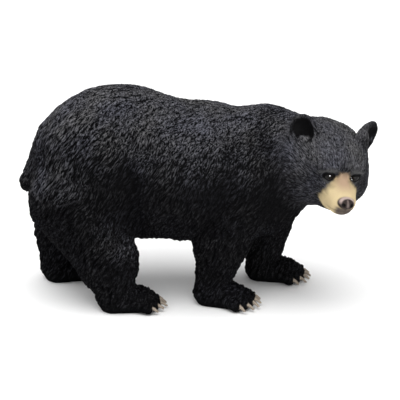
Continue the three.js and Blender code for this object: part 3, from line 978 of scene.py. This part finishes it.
class Coat:
    """The carved fur: broad locks under fine strokes that follow the lie of the hair."""

    LOCK = Carving(9.0, 24.0, 9.0, 2.4, 0.6, 0.25, 0.0)
    BODY_STROKE = Carving(2.1, 5.6, 1.9, 1.5, 0.5, 0.45, 0.30)
    HEAD_STROKE = Carving(1.35, 3.4, 1.15, 0.45, 0.5, 0.45, 0.3)
    LOCK_SHARE = 0.3
    TRUNK_LIE = np.array([-0.56, 0.0, -0.83])
    LEG_LIE = np.array([-0.4, 0.0, -0.92])
    LEG_REACH = (62.0, 40.0)
    HEAD_REACH = (24.0, 38.0)
    HEAD_MARGIN = 6.0
    WAVES = ((0.11, 0.13, 0.09), (-0.07, 0.15, 0.17))
    WAVE_SHIFT = 1.3
    CHANCE_SWAY = 1.2
    LEAST_SIZE = 0.65
    SIZE_RANGE = 0.6
    EYE_FADE = (4.4, 3.4)
    LID_FADE = 0.8
    SOLE_FADE = (1.0, 6.0)
    CLAW_FADE = (0.2, 1.2)
    SLEEK = 0.35
    SLEEK_HEIGHTS = (70.0, 115.0)
    FACE_START = (8.0, 16.0)
    LOCK_FOOT = (3.0, 9.0)
    LOW_STROKE = 1.3
    STROKE_LOSS = 0.8
    STROKE_HEIGHTS = (40.0, 90.0)
    HOLLOW_LINES = (
        ((-34.0, 48.0), (-40.0, 69.0), (-43.0, 95.0)),
        ((3.0, 46.0), (12.0, 75.0), (20.0, 104.0)),
        ((47.0, 58.0), (42.0, 86.0), (36.0, 108.0)),
    )
    HOLLOW_FOOT = (-8.0, 6.0)
    HOLLOW_TOP = (6.0, -10.0)
    HOLLOW_SIDES = (8.0, 20.0)
    HOLLOW_WIDTH = 6.5
    HOLLOW_DEPTH = 1.6
    FOLD_REACH = 3.0
    FOLD_OPENING = (0.35, 0.9)
    SEED = 20

    def __init__(self, figure: Figure) -> None:
        """Lay the locks and strokes on a figure.

        Args:
            figure: The bare figure.
        """
        self.figure = figure
        self.head = figure.head
        self.nose_tip = self.head.place().world(np.array(self.head.nose))
        self.random = np.random.default_rng(self.SEED)
        self.locks = self.lay(self.LOCK)
        self.body = self.lay(self.BODY_STROKE)
        self.face = self.lay(self.HEAD_STROKE, self.HEAD_REACH[1] + self.HEAD_MARGIN)

    def on_head(self, points: Array) -> Array:
        """1 on the head, falling to 0 on the neck."""
        return self.head.nearness(points, *self.HEAD_REACH)

    def lie(self, points: Array) -> Array:
        """The way the fur lies: back and down on the trunk, down the legs, away from the nose on the head.

        Args:
            points: Body points, one per row.

        Returns:
            A direction per point.
        """
        on_leg = smoothstep(*self.LEG_REACH, points[:, 2])[:, None]
        trunk = unit(self.TRUNK_LIE * (1.0 - on_leg) + self.LEG_LIE * on_leg)
        head = self.on_head(points)[:, None]
        return unit(points - self.nose_tip) * head + trunk * (1.0 - head)

    def lay(self, carving: Carving, head_only: float | None = None) -> Strokes:
        """Strokes at the vertices of a coarse net, shifted and turned a little by chance.

        Args:
            carving: The strokes' size and spacing.
            head_only: If given, only strokes within this distance of the head's centre are kept.

        Returns:
            The strokes.
        """
        points = SurfaceNet(self.figure, carving.spacing).build()[0]
        if head_only is not None:
            points = points[lengths(points - self.head.centre) < head_only]
        points = self.figure.settle(points)
        normal = self.figure.normals(points)
        shift = (self.random.random((len(points), 3)) - 0.5) * 2.0 * carving.jitter * carving.spacing
        points = points + shift - dots(shift, normal)[:, None] * normal
        along = self.lie(points)
        along = unit(along - dots(along, normal)[:, None] * normal)
        across = np.cross(normal, along)
        first, second = (points @ wave for wave in self.WAVES)
        wave = 0.5 * np.sin(first) + 0.5 * np.sin(second + self.WAVE_SHIFT)
        angle = carving.sway * (wave + self.CHANCE_SWAY * (self.random.random(len(points)) - 0.5))
        along = along * np.cos(angle)[:, None] + across * np.sin(angle)[:, None]
        size = self.LEAST_SIZE + self.SIZE_RANGE * self.random.random(len(points))
        return Strokes(carving, points, normal, along, np.cross(normal, along), size)

    def cover(self, points: Array) -> Array:
        """How much fur each point carries: none on soles, claws, muzzle, eyes and ear hollows.

        Args:
            points: Body points, one per row.

        Returns:
            A number from 0 to 1 per point.
        """
        bare = np.maximum(self.head.patch(points), self.head.ear_inside(points))
        bare = np.maximum(bare, smoothstep(*self.EYE_FADE, self.head.eye_gap(points)))
        bare = np.maximum(bare, self.LID_FADE * self.head.lids(points))
        claw = smoothstep(*self.CLAW_FADE, self.figure.claw_gap(points))
        return smoothstep(*self.SOLE_FADE, points[:, 2]) * (1.0 - bare) * claw

    def strokes(self, points: Array) -> Array:
        """The fine strokes' height over each point, from 0 to 1."""
        head = self.on_head(points)
        return np.maximum(self.face.heights(points) * head, self.body.heights(points) * (1.0 - head))

    def hollows(self, points: Array) -> Array:
        """The soft hollows before the haunch, behind the shoulder and before it, on both sides.

        Each runs down the side along a bent line of (x, z) points; it is the bell curve of the distance
        from that line along X, and fades out at its ends and near the middle of the back.

        Args:
            points: Body points, one per row.

        Returns:
            A number from 0 to 1 per point.
        """
        x, y, z = points.T
        total = np.zeros(len(points))
        for line in self.HOLLOW_LINES:
            heights, places = zip(*((place[1], place[0]) for place in line))
            bell = np.exp(-(((x - np.interp(z, heights, places)) / self.HOLLOW_WIDTH) ** 2))
            foot = smoothstep(*(heights[0] + fade for fade in self.HOLLOW_FOOT), z)
            top = smoothstep(*(heights[-1] + fade for fade in self.HOLLOW_TOP), z)
            total = np.maximum(total, bell * (foot * top))
        return total * smoothstep(*self.HOLLOW_SIDES, np.abs(y)) * (1.0 - self.on_head(points))

    def relief(self, points: Array) -> Array:
        """The whole relief in millimetres: locks and strokes about their mean heights, less the hollows.

        The fur is longer low on the body and sleeker on the back, and fades out in folds.

        Args:
            points: Body points, one per row.

        Returns:
            A height per point.
        """
        head = self.on_head(points)
        up = points[:, 2]
        sleek = 1.0 - self.SLEEK * smoothstep(*self.SLEEK_HEIGHTS, up)
        face = smoothstep(*self.FACE_START, self.head.place().local(points)[:, 0]) * head
        coarse = sleek * smoothstep(*self.LOCK_FOOT, up) * (1.0 - face)
        locks = (self.locks.heights(points) - self.LOCK.mean) * self.LOCK.height * self.LOCK_SHARE * coarse
        short = self.LOW_STROKE - self.STROKE_LOSS * smoothstep(*self.STROKE_HEIGHTS, up)
        height = self.HEAD_STROKE.height * head + self.BODY_STROKE.height * short * (1.0 - head)
        fine = (self.strokes(points) - self.BODY_STROKE.mean) * height * self.cover(points)
        return (locks + fine - self.HOLLOW_DEPTH * self.hollows(points)) * self.open_air(points)

    def open_air(self, points: Array) -> Array:
        """1 in the open, falling to 0 in a fold: the distance at a short way out, as a share of that way."""
        out = points + self.FOLD_REACH * self.figure.normals(points)
        return smoothstep(*self.FOLD_OPENING, self.figure.distance(out) / self.FOLD_REACH)


@dataclass(frozen=True)
class Finish:
    """A paint: its colour and its roughness."""

    colour: Colour
    roughness: float


class PaintNodes:
    """A material's node tree with short ways to add and join its nodes."""

    STREAK_DETAIL = 2.0
    STREAK_ROUGHNESS = 0.6

    def __init__(self, name: str) -> None:
        """Start a material of the given name.

        Args:
            name: The material's name.
        """
        self.material = bpy.data.materials.new(name)
        self.material.use_nodes = True
        self.tree = self.material.node_tree
        self.shader = self.tree.nodes["Principled BSDF"]
        self.coordinates = self.node("TexCoord", {}).outputs["Object"]

    def join(self, value: Value, socket: Socket) -> None:
        """Link a socket to a node's input, or set a plain value on it.

        Args:
            value: A socket or a plain value.
            socket: The node's input.
        """
        if isinstance(value, Socket):
            self.tree.links.new(value, socket)
        else:
            socket.default_value = value

    def node(self, kind: str, inputs: dict[int | str, Value], **settings: str) -> bpy.types.Node:
        """A new node of the material.

        Args:
            kind: The node's kind.
            inputs: A socket or a plain value for each input, by the input's number or name.
            settings: The node's own settings.

        Returns:
            The node.
        """
        node = self.tree.nodes.new("ShaderNode" + kind)
        for setting, choice in settings.items():
            setattr(node, setting, choice)
        for slot, value in inputs.items():
            self.join(value, node.inputs[slot])
        return node

    def mask(self, name: str) -> Socket:
        """The value of one of the mesh's masks."""
        return self.node("Attribute", {}, attribute_name=name).outputs["Fac"]

    def mixed(self, share: Socket, under: Value, over: Value) -> Socket:
        """Two colours mixed by a share, 0 for the one under and 1 for the one over."""
        return self.node("Mix", {0: share, 6: under, 7: over}, data_type="RGBA").outputs[2]

    def between(self, share: Socket, under: Value, over: Value) -> Socket:
        """Two numbers mixed by a share, 0 for the one under and 1 for the one over."""
        return self.node("Mix", {0: share, 2: under, 3: over}).outputs[0]

    def ranged(self, value: Socket, low: float, high: float, start: float = 0.0) -> Socket:
        """A value brought from low..high to start..1 and held there."""
        inputs = {"From Min": low, "From Max": high, "To Min": start, "Value": value}
        return self.node("MapRange", inputs).outputs["Result"]

    def calc(self, kind: str, first: Value, second: Value) -> Socket:
        """One step of arithmetic."""
        return self.node("Math", {0: first, 1: second}, operation=kind).outputs[0]

    def vector(self, kind: str, first: Value, second: Value = (0.0, 0.0, 0.0)) -> bpy.types.Node:
        """One step of vector arithmetic."""
        return self.node("VectorMath", {0: first, 1: second}, operation=kind)

    def scaled(self, first: Value, size: float) -> Socket:
        """A vector times a number."""
        return self.node("VectorMath", {0: first, "Scale": size}, operation="SCALE").outputs[0]

    def noise(self, scale: float, detail: float) -> bpy.types.Node:
        """Cloudy noise on the piece's own coordinates."""
        return self.node("TexNoise", {"Scale": scale, "Detail": detail, "Vector": self.coordinates})

    def hairs(self, place: Value, low: float, high: float, along: Value | None = None) -> Socket:
        """Streaks of one unit, like brushed hair.

        Args:
            place: The vector that the streaks lie in.
            low: The noise that is a gap between hairs.
            high: The noise that is a hair's middle.
            along: A fourth coordinate, if the streaks' length isn't in the vector.

        Returns:
            A height from 0 to 1.
        """
        inputs = {"Scale": 1.0, "Detail": self.STREAK_DETAIL, "Roughness": self.STREAK_ROUGHNESS}
        inputs["Vector"] = place
        if along is not None:
            inputs["W"] = along
        node = self.node("TexNoise", inputs, noise_dimensions="3D" if along is None else "4D")
        return self.ranged(node.outputs["Fac"], low, high)


@dataclass(frozen=True)
class BearPaint:
    """The casting's paints, each laid by a mask that the mesh carries as an attribute."""

    groove: Finish = Finish((0.0016, 0.0016, 0.002, 1.0), 0.7)
    # The crests' grey is the dry brush's paint and also painted sheen on glossy strands.
    crest_and_sheen: Finish = Finish((0.146, 0.144, 0.150, 1.0), 0.5)
    cool_crest_and_sheen: Finish = Finish((0.131, 0.133, 0.161, 1.0), 0.5)
    muzzle: Finish = Finish((0.585, 0.475, 0.275, 1.0), 0.6)
    bridge: Finish = Finish((0.39, 0.275, 0.185, 1.0), 0.6)
    lid: Finish = Finish((0.105, 0.105, 0.108, 1.0), 0.5)
    # Dark grey of the lips, together with painted shade under the nose.
    lips_and_shade_under_nose: Finish = Finish((0.055, 0.050, 0.050, 1.0), 0.6)
    nose: Finish = Finish((0.034, 0.026, 0.024, 1.0), 0.35)
    # Painted highlight on the top of the nose and the ridge between the nostrils.
    nose_painted_highlight: Finish = Finish((0.38, 0.295, 0.27, 1.0), 0.4)
    dark: Finish = Finish((0.003, 0.003, 0.003, 1.0), 0.6)
    claw: Finish = Finish((0.32, 0.27, 0.22, 1.0), 0.4)
    eye: Finish = Finish((0.003, 0.002, 0.002, 1.0), 0.3)
    hair_length: float = 0.0042
    hair_width: float = 0.00075
    hair_streak: Pair = (0.40, 0.64)
    hair_sway: Pair = (70.0, 0.006)
    lie_turn: float = 120.0
    head_hair_length: float = 0.0030
    head_hair_turn: float = 72.0
    head_hair_streak: Pair = (0.34, 0.70)
    cloud: tuple[Pair, Pair] = ((45.0, 3.0), (0.35, 0.65))
    crest_range: Triple = (0.1, 0.8, 0.04)
    thin_coat: Pair = (2.0, -0.1)
    tan_streaks: float = 0.3
    lid_streaks: float = 0.35
    grain: tuple[Pair, float] = ((1400.0, 2.0), 0.15)
    bare_relief: float = 0.15
    bump_strength: float = 0.7
    bump_depth: float = 0.00035
    gloss: float = 0.3
    gloss_roughness: float = 0.04
    paint_shine: float = 0.012

    def body_hairs(self, paint: PaintNodes) -> Socket:
        """Hairs on trunk and legs: long streaks turned back and down, made wavy by slow noise.

        Args:
            paint: The material's nodes.

        Returns:
            A height from 0 to 1.
        """
        scale, reach = self.hair_sway
        sway = paint.vector("SUBTRACT", paint.noise(scale, 1.0).outputs["Color"], (0.5, 0.5, 0.5)).outputs[0]
        inputs = {
            "Vector": paint.vector("ADD", paint.coordinates, paint.scaled(sway, reach)).outputs[0],
            "Rotation": (0.0, math.radians(self.lie_turn), 0.0),
            "Scale": (self.hair_length, self.hair_width, self.hair_width),
        }
        lay = paint.node("Mapping", inputs, vector_type="TEXTURE")
        return paint.hairs(lay.outputs[0], *self.hair_streak)

    def head_hairs(self, paint: PaintNodes, nose: Triple) -> Socket:
        """Hairs on the head: streaks by the direction from the nose, long in the distance from it.

        Args:
            paint: The material's nodes.
            nose: The nose's middle in the row's frame, in metres.

        Returns:
            A height from 0 to 1.
        """
        away = paint.vector("SUBTRACT", paint.coordinates, nose).outputs[0]
        bearing = paint.vector("NORMALIZE", away).outputs[0]
        reach = paint.vector("LENGTH", away).outputs["Value"]
        along = paint.calc("MULTIPLY", reach, 1.0 / self.head_hair_length)
        return paint.hairs(paint.scaled(bearing, self.head_hair_turn), *self.head_hair_streak, along)

    def coat(self, nose: Triple) -> bpy.types.Material:
        """The painted coat: near-black, with a pale muzzle and grey on the strokes' crests that is dry brush,
        painted sheen on glossy strands and painted top light.

        Args:
            nose: The nose's middle in the row's frame, in metres.

        Returns:
            The material.
        """
        paint = PaintNodes("painted_bear_coat")
        head = paint.mask("head")
        face_hair = self.head_hairs(paint, nose)
        hair = paint.between(head, self.body_hairs(paint), face_hair)
        cloud = paint.ranged(paint.noise(*self.cloud[0]).outputs["Fac"], *self.cloud[1])
        crest_and_sheen = paint.ranged(paint.mask("crest_and_sheen"), *self.crest_range)
        # The dry brush's load, with painted top light on upward faces and painted shade in the hollows and
        # behind the head.
        drybrush_and_top_light = paint.mask("drybrush_and_top_light")
        gain, start = self.thin_coat
        thin_coat = paint.calc("ADD", paint.calc("MULTIPLY", hair, gain), start)
        paint_load_and_top_light = paint.calc("MULTIPLY", paint.between(drybrush_and_top_light, thin_coat, 1.0), drybrush_and_top_light)
        # Grey where dry brush, painted top light and crests meet.
        brushed_and_top_lit = paint.calc("MULTIPLY", paint.calc("MULTIPLY", hair, crest_and_sheen), paint_load_and_top_light)
        grey = paint.mixed(cloud, self.crest_and_sheen.colour, self.cool_crest_and_sheen.colour)
        colour = paint.mixed(brushed_and_top_lit, self.groove.colour, grey)
        rough = paint.between(brushed_and_top_lit, self.groove.roughness, self.crest_and_sheen.roughness)
        tan = paint.mixed(paint.mask("bridge"), self.muzzle.colour, self.bridge.colour)
        # The lips' dark grey and painted shade under the nose, over the tan.
        tan = paint.mixed(paint.mask("lips_and_shade_under_nose"), tan, self.lips_and_shade_under_nose.colour)
        tan = paint.mixed(paint.calc("MULTIPLY", face_hair, self.tan_streaks), tan, self.bridge.colour)
        # The nose pad, with its painted highlight on top.
        pad = paint.mixed(paint.mask("nose_painted_highlight"), self.nose.colour, self.nose_painted_highlight.colour)
        for name, finish, shade in (
            ("lid", self.lid, self.lid.colour),
            ("patch", self.muzzle, tan),
            ("nose", self.nose, pad),
            ("dark", self.dark, self.dark.colour),
            ("claw", self.claw, self.claw.colour),
            ("eye", self.eye, self.eye.colour),
        ):
            share = paint.mask(name)
            if name == "lid":
                share = paint.calc("MULTIPLY", share, paint.ranged(face_hair, 0.0, 1.0, self.lid_streaks))
            colour = paint.mixed(share, colour, shade)
            rough = paint.between(share, rough, finish.roughness)
        scale, depth = self.grain
        grain = paint.calc("MULTIPLY", paint.noise(*scale).outputs["Fac"], depth)
        furry = paint.ranged(paint.mask("fur"), 0.0, 1.0, self.bare_relief)
        height = paint.calc("ADD", paint.calc("MULTIPLY", hair, furry), grain)
        inputs = {"Strength": self.bump_strength, "Distance": self.bump_depth, "Height": height}
        bump = paint.node("Bump", inputs)
        paint.join(bump.outputs["Normal"], paint.shader.inputs["Normal"])
        paint.join(colour, paint.shader.inputs["Base Color"])
        paint.join(rough, paint.shader.inputs["Roughness"])
        paint.join(paint.calc("MULTIPLY", paint.mask("eye"), self.gloss), paint.shader.inputs["Coat Weight"])
        paint.shader.inputs["Coat Roughness"].default_value = self.gloss_roughness
        paint.shader.inputs["Specular IOR Level"].default_value = self.paint_shine
        return paint.material


class Casting:
    """The carved and painted bear, one closed mesh that stands for the solid."""

    NAME = "bear_casting"
    NODE = "bear"
    SLOT = "painted_resin"
    SLIVER = 1e-6
    FOLD = math.radians(115.0)
    PATCHING = 2
    EASING = 12
    # Painted top light: upward faces high on the body take more of the dry brush's grey. Painted shade: the
    # side hollows and a ring on the neck behind the head take less.
    TOP_LIGHT_FACING = (-0.1, 1.0)
    TOP_LIGHT_HEIGHTS = (6.0, 60.0)
    HEAD_SHADOW_RING = (44.0, 8.0)
    LEAST_BRUSH = 0.07
    TOP_LIGHT_RANGE = 0.93
    HOLLOW_SHADE = 0.6
    NECK_SHADE = 0.5
    HEAD_BRUSH = 0.42
    HEAD_CREST = 0.3
    NOSTRIL_DARK = 0.9
    MOUTH_DARK = 0.3
    RIM_DARK = 0.9
    EAR_DARK = 0.45
    BRIDGE = ((33.0, 26.0), (6.5, 1.5), (-4.0, 1.0))
    # Where the lips' dark grey and the painted shade under the nose go.
    LIPS_AND_SHADE_UNDER_NOSE = ((30.5, 34.0), (6.5, 3.5), (-6.2, -7.8))
    CLAW_EDGE = (0.25, 0.1)
    EYE_EDGE = (0.4, 0.1)
    KEPT_EYE = 5.0
    KEPT_CLAW = 0.4
    KEPT_LIPS = 30.0

    def __init__(self) -> None:
        """Prepare the figure and its coat."""
        self.figure = Figure()
        self.coat = Coat(self.figure)
        self.paint = BearPaint()

    def carve(self) -> tuple[Array, Array]:
        """The carved surface: a fine net on the figure, raised by the coat and cut by the mouth.

        Returns:
            Points in millimetres and triangles.
        """
        points, quads = SurfaceNet(self.figure, NET_STEP).build()
        points = self.figure.settle(points, 1)
        points, quads = split_quads(points, quads)
        points = self.figure.settle(points)
        normals = self.figure.normals(points)
        mouth = self.figure.head.mouth(points)
        points = points + (self.coat.relief(points) - self.figure.head.mouth_depth * mouth)[:, None] * normals
        points[:, 2] = np.maximum(points[:, 2], 0.0)
        return points, np.concatenate([quads[:, [0, 1, 2]], quads[:, [0, 2, 3]]])

    def masks(self, points: Array) -> dict[str, Array]:
        """The paint masks at each point.

        The dry brush takes the head most; painted top light adds to it on upward faces high on the body, and
        painted shade takes from it in the hollows on the sides and in a ring on the neck behind the head. The
        nose has a painted highlight on top, and the paint of the eyes' rims, lips, nostrils and ear hollows
        is dark.
        The bridge, and the lips with painted shade under the nose, are the product of S curves of the place
        along the head, out from its middle and up.

        Args:
            points: Body points, one per row.

        Returns:
            Numbers from 0 to 1 per point, by the mask's name.
        """
        head = self.figure.head
        on_head = self.coat.on_head(points)
        fur = self.coat.cover(points)
        x, y, z = head.place().local(points).T
        # Painted top light: more grey on upward faces, and less low on the body near the floor.
        top_light = smoothstep(*self.TOP_LIGHT_FACING, self.figure.normals(points)[:, 2])
        top_light_by_height = smoothstep(*self.TOP_LIGHT_HEIGHTS, points[:, 2])
        # Painted shadow of the head: a ring on the neck behind it.
        away, width = self.HEAD_SHADOW_RING
        neck = np.exp(-(((lengths(points - head.centre) - away) / width) ** 2))
        drybrush_and_top_light = self.LEAST_BRUSH + self.TOP_LIGHT_RANGE * top_light * top_light_by_height
        # Painted shade in the hollows on the sides and in the head's shadow on the neck.
        drybrush_and_top_light = drybrush_and_top_light * (1.0 - self.HOLLOW_SHADE * self.coat.hollows(points)) * (1.0 - self.NECK_SHADE * neck)
        drybrush_and_top_light = drybrush_and_top_light + self.HEAD_BRUSH * on_head
        dark = (
            self.NOSTRIL_DARK * head.nostrils(points),
            self.MOUTH_DARK * head.mouth(points),
            self.RIM_DARK * head.lid_line(points),
            self.EAR_DARK * head.ear_inside(points),
        )
        # The bridge's darker brown, and the lips with painted shade under the nose.
        bridge, lips_and_shade_under_nose = (
            smoothstep(*out, np.abs(y)) * smoothstep(*up, z) * smoothstep(*along, x)
            for along, out, up in (self.BRIDGE, self.LIPS_AND_SHADE_UNDER_NOSE)
        )
        eye_edge = (head.eye_radius + edge for edge in self.EYE_EDGE)
        return {
            # Where the crests take the dry brush's grey and its painted sheen.
            "crest_and_sheen": np.maximum(self.coat.strokes(points), self.HEAD_CREST * on_head) * fur,
            "fur": fur,
            "head": on_head,
            "drybrush_and_top_light": np.clip(drybrush_and_top_light, 0.0, 1.0),
            "patch": head.patch(points),
            "bridge": bridge,
            "lips_and_shade_under_nose": lips_and_shade_under_nose,
            "lid": head.lids(points),
            "nose": head.nose_pad(points),
            "nose_painted_highlight": head.nose_painted_highlight(points),
            "dark": np.maximum.reduce(dark),
            "claw": smoothstep(*self.CLAW_EDGE, self.figure.claw_gap(points)),
            "eye": smoothstep(*eye_edge, head.eye_gap(points)),
        }

    def loose(self, points: Array) -> Array:
        """The numbers of the points that may be thinned: all but the eyes, the nose, the lips and the claws.

        Args:
            points: Body points, one per row.

        Returns:
            Point numbers.
        """
        head = self.figure.head
        ahead = head.place().local(points)[:, 0] > self.KEPT_LIPS
        lips = ahead & (head.nearness(points, *head.mouth_reach) > 0.0)
        claws = self.figure.claw_gap(points) <= self.KEPT_CLAW
        return np.flatnonzero((head.eye_gap(points) > self.KEPT_EYE) & ~claws & ~lips)

    def thinned(self, points: Array, triangles: Array, loose: Array) -> bpy.types.Mesh:
        """The carved surface as a mesh, with its edges closed until it has the piece's number of triangles.

        Args:
            points: Points in metres, in the row's frame.
            triangles: Triangles of point numbers.
            loose: Numbers of the points that may go.

        Returns:
            The mesh.
        """
        full = bpy.data.meshes.new("carved")
        full.from_pydata(points.tolist(), [], triangles.tolist())
        holder = put("carved", full)
        holder.vertex_groups.new(name="loose").add(loose.tolist(), 1.0, "REPLACE")
        thin = holder.modifiers.new("thin", "DECIMATE")
        thin.ratio = PIECE_TRIANGLES / len(triangles)
        thin.vertex_group = "loose"
        mesh = bpy.data.meshes.new_from_object(holder.evaluated_get(bpy.context.evaluated_depsgraph_get()))
        bpy.data.objects.remove(holder)
        bpy.data.meshes.remove(full)
        mesh.name = self.NAME
        self.mend(mesh)
        return mesh

    def mend(self, mesh: bpy.types.Mesh) -> None:
        """Take out what thinning leaves: slivers, edges without two faces, and sharp folds, which are eased.

        Args:
            mesh: The thinned mesh, mended in place.
        """
        work = bmesh.new()
        work.from_mesh(mesh)
        bmesh.ops.dissolve_degenerate(work, dist=self.SLIVER, edges=work.edges)
        for _ in range(self.PATCHING):
            torn = [corner for corner in work.verts if not corner.is_manifold]
            bmesh.ops.delete(work, geom=torn, context="VERTS")
            bmesh.ops.holes_fill(work, edges=[edge for edge in work.edges if edge.is_boundary], sides=0)
            bmesh.ops.triangulate(work, faces=[face for face in work.faces if len(face.verts) > 3])
        for _ in range(self.EASING):
            folded = [edge.calc_face_angle(0.0) > self.FOLD for edge in work.edges]
            work.edges.index_update()
            eased = [corner for corner in work.verts if any(folded[edge.index] for edge in corner.link_edges)]
            axes = {"use_axis_x": True, "use_axis_y": True, "use_axis_z": True}
            bmesh.ops.smooth_vert(work, verts=eased, factor=0.5, **axes)
        work.verts.index_update()
        edges = np.array([[corner.index for corner in edge.verts] for edge in work.edges])
        main = largest_part(len(work.verts), edges)
        strays = [corner for corner in work.verts if not main[corner.index]]
        bmesh.ops.delete(work, geom=strays, context="VERTS")
        work.to_mesh(mesh)
        work.free()

    def build(self) -> bpy.types.Object:
        """The finished piece, riding on the root and standing for the solid.

        Returns:
            The piece.
        """
        points, triangles = self.carve()
        LOG.info("carved %d triangles", len(triangles))
        mesh = self.thinned((points - FIGURE_MIDDLE) * MM, triangles, self.loose(points))
        kept = np.empty(3 * len(mesh.vertices), np.float32)
        mesh.vertices.foreach_get("co", kept)
        kept = kept.reshape(-1, 3).astype(float) / MM + FIGURE_MIDDLE
        for name, values in self.masks(kept).items():
            mesh.attributes.new(name, "FLOAT", "POINT").data.foreach_set("value", values.astype(np.float32))
        mesh.polygons.foreach_set("use_smooth", np.ones(len(mesh.polygons), bool))
        nose = (self.coat.nose_tip - FIGURE_MIDDLE) * MM
        mesh.materials.append(self.paint.coat(tuple(nose)))
        piece = put(self.NAME, mesh)
        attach(piece, "root")
        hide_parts(self.NODE)
        LOG.info("%s has %d triangles", self.NAME, len(mesh.polygons))
        return piece


@dataclass(frozen=True)
class Studio:
    """A pale floor, soft light from above and a camera at the figure's right side."""

    target: Triple = (0.0, 0.0, 57.3)
    distance: float = 880.0
    elevation: float = 19.0
    focal_pixels: float = 1504.3
    image_pixels: float = 400.0
    sensor: float = 36.0
    floor_size: float = 60.0
    floor_colour: Colour = (0.93, 0.93, 0.93, 1.0)
    floor_roughness: float = 0.9
    aim: Triple = (0.0, 0.0, 0.06)
    top_place: Triple = (-0.12, -0.3, 1.2)
    top_power: float = 2.85
    top_spread: float = 60.0
    glint_place: Triple = (0.19, -0.41, 0.035)
    glint_size: float = 0.09
    glint_power: float = 9.0
    sky_power: float = 0.64

    def floor(self) -> None:
        """A wide pale floor under the paws."""
        half = self.floor_size / 2.0
        mesh = bpy.data.meshes.new("studio_floor")
        corners = [(-half, -half, 0), (half, -half, 0), (half, half, 0), (-half, half, 0)]
        mesh.from_pydata(corners, [], [(0, 1, 2, 3)])
        material = bpy.data.materials.new("studio_floor")
        material.use_nodes = True
        shader = material.node_tree.nodes["Principled BSDF"]
        shader.inputs["Base Color"].default_value = self.floor_colour
        shader.inputs["Roughness"].default_value = self.floor_roughness
        mesh.materials.append(material)
        put("studio_floor", mesh)

    def lamp(self, data: bpy.types.Light, at: Triple) -> bpy.types.Object:
        """Hang a lamp so that it faces the figure.

        Args:
            data: The lamp.
            at: Its place in metres.

        Returns:
            The lamp's object.
        """
        lamp = put(data.name, data)
        lamp.location = at
        lamp.rotation_euler = (Vector(self.aim) - Vector(at)).to_track_quat("-Z", "Y").to_euler()
        return lamp

    def lights(self) -> None:
        """A broad even light from above, a small one that only glossy paint shows, and a faint sky."""
        top = bpy.data.lights.new("studio_top", "SUN")
        top.energy = self.top_power
        top.angle = math.radians(self.top_spread)
        self.lamp(top, self.top_place)
        glint = bpy.data.lights.new("studio_glint", "AREA")
        glint.size = self.glint_size
        glint.energy = self.glint_power
        lamp = self.lamp(glint, self.glint_place)
        lamp.visible_diffuse = False
        lamp.visible_camera = False
        world = bpy.data.worlds.new("studio_sky")
        world.use_nodes = True
        background = world.node_tree.nodes["Background"]
        background.inputs["Color"].default_value = (1.0, 1.0, 1.0, 1.0)
        background.inputs["Strength"].default_value = self.sky_power
        bpy.context.scene.world = world

    def camera(self) -> None:
        """A long lens that looks down at the figure's right side."""
        data = bpy.data.cameras.new("studio_camera")
        data.sensor_width = self.sensor
        data.lens = self.sensor * self.focal_pixels / self.image_pixels
        eye = put("studio_camera", data)
        rise = math.radians(self.elevation)
        target = (np.array(self.target) - FIGURE_MIDDLE) * MM
        eye.location = target + self.distance * MM * np.array([0.0, -math.cos(rise), math.sin(rise)])
        eye.rotation_euler = (math.pi / 2.0 - rise, 0.0, 0.0)
        bpy.context.scene.camera = eye

    def build(self) -> None:
        """Set up floor, light and camera."""
        self.floor()
        self.lights()
        self.camera()
        bpy.context.scene.view_settings.view_transform = "Standard"


def main() -> None:
    """Build the casting and the studio."""
    logging.basicConfig(level=logging.INFO)
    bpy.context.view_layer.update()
    Studio().build()
    Casting().build()
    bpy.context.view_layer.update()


if __name__ == "__main__":
    main()
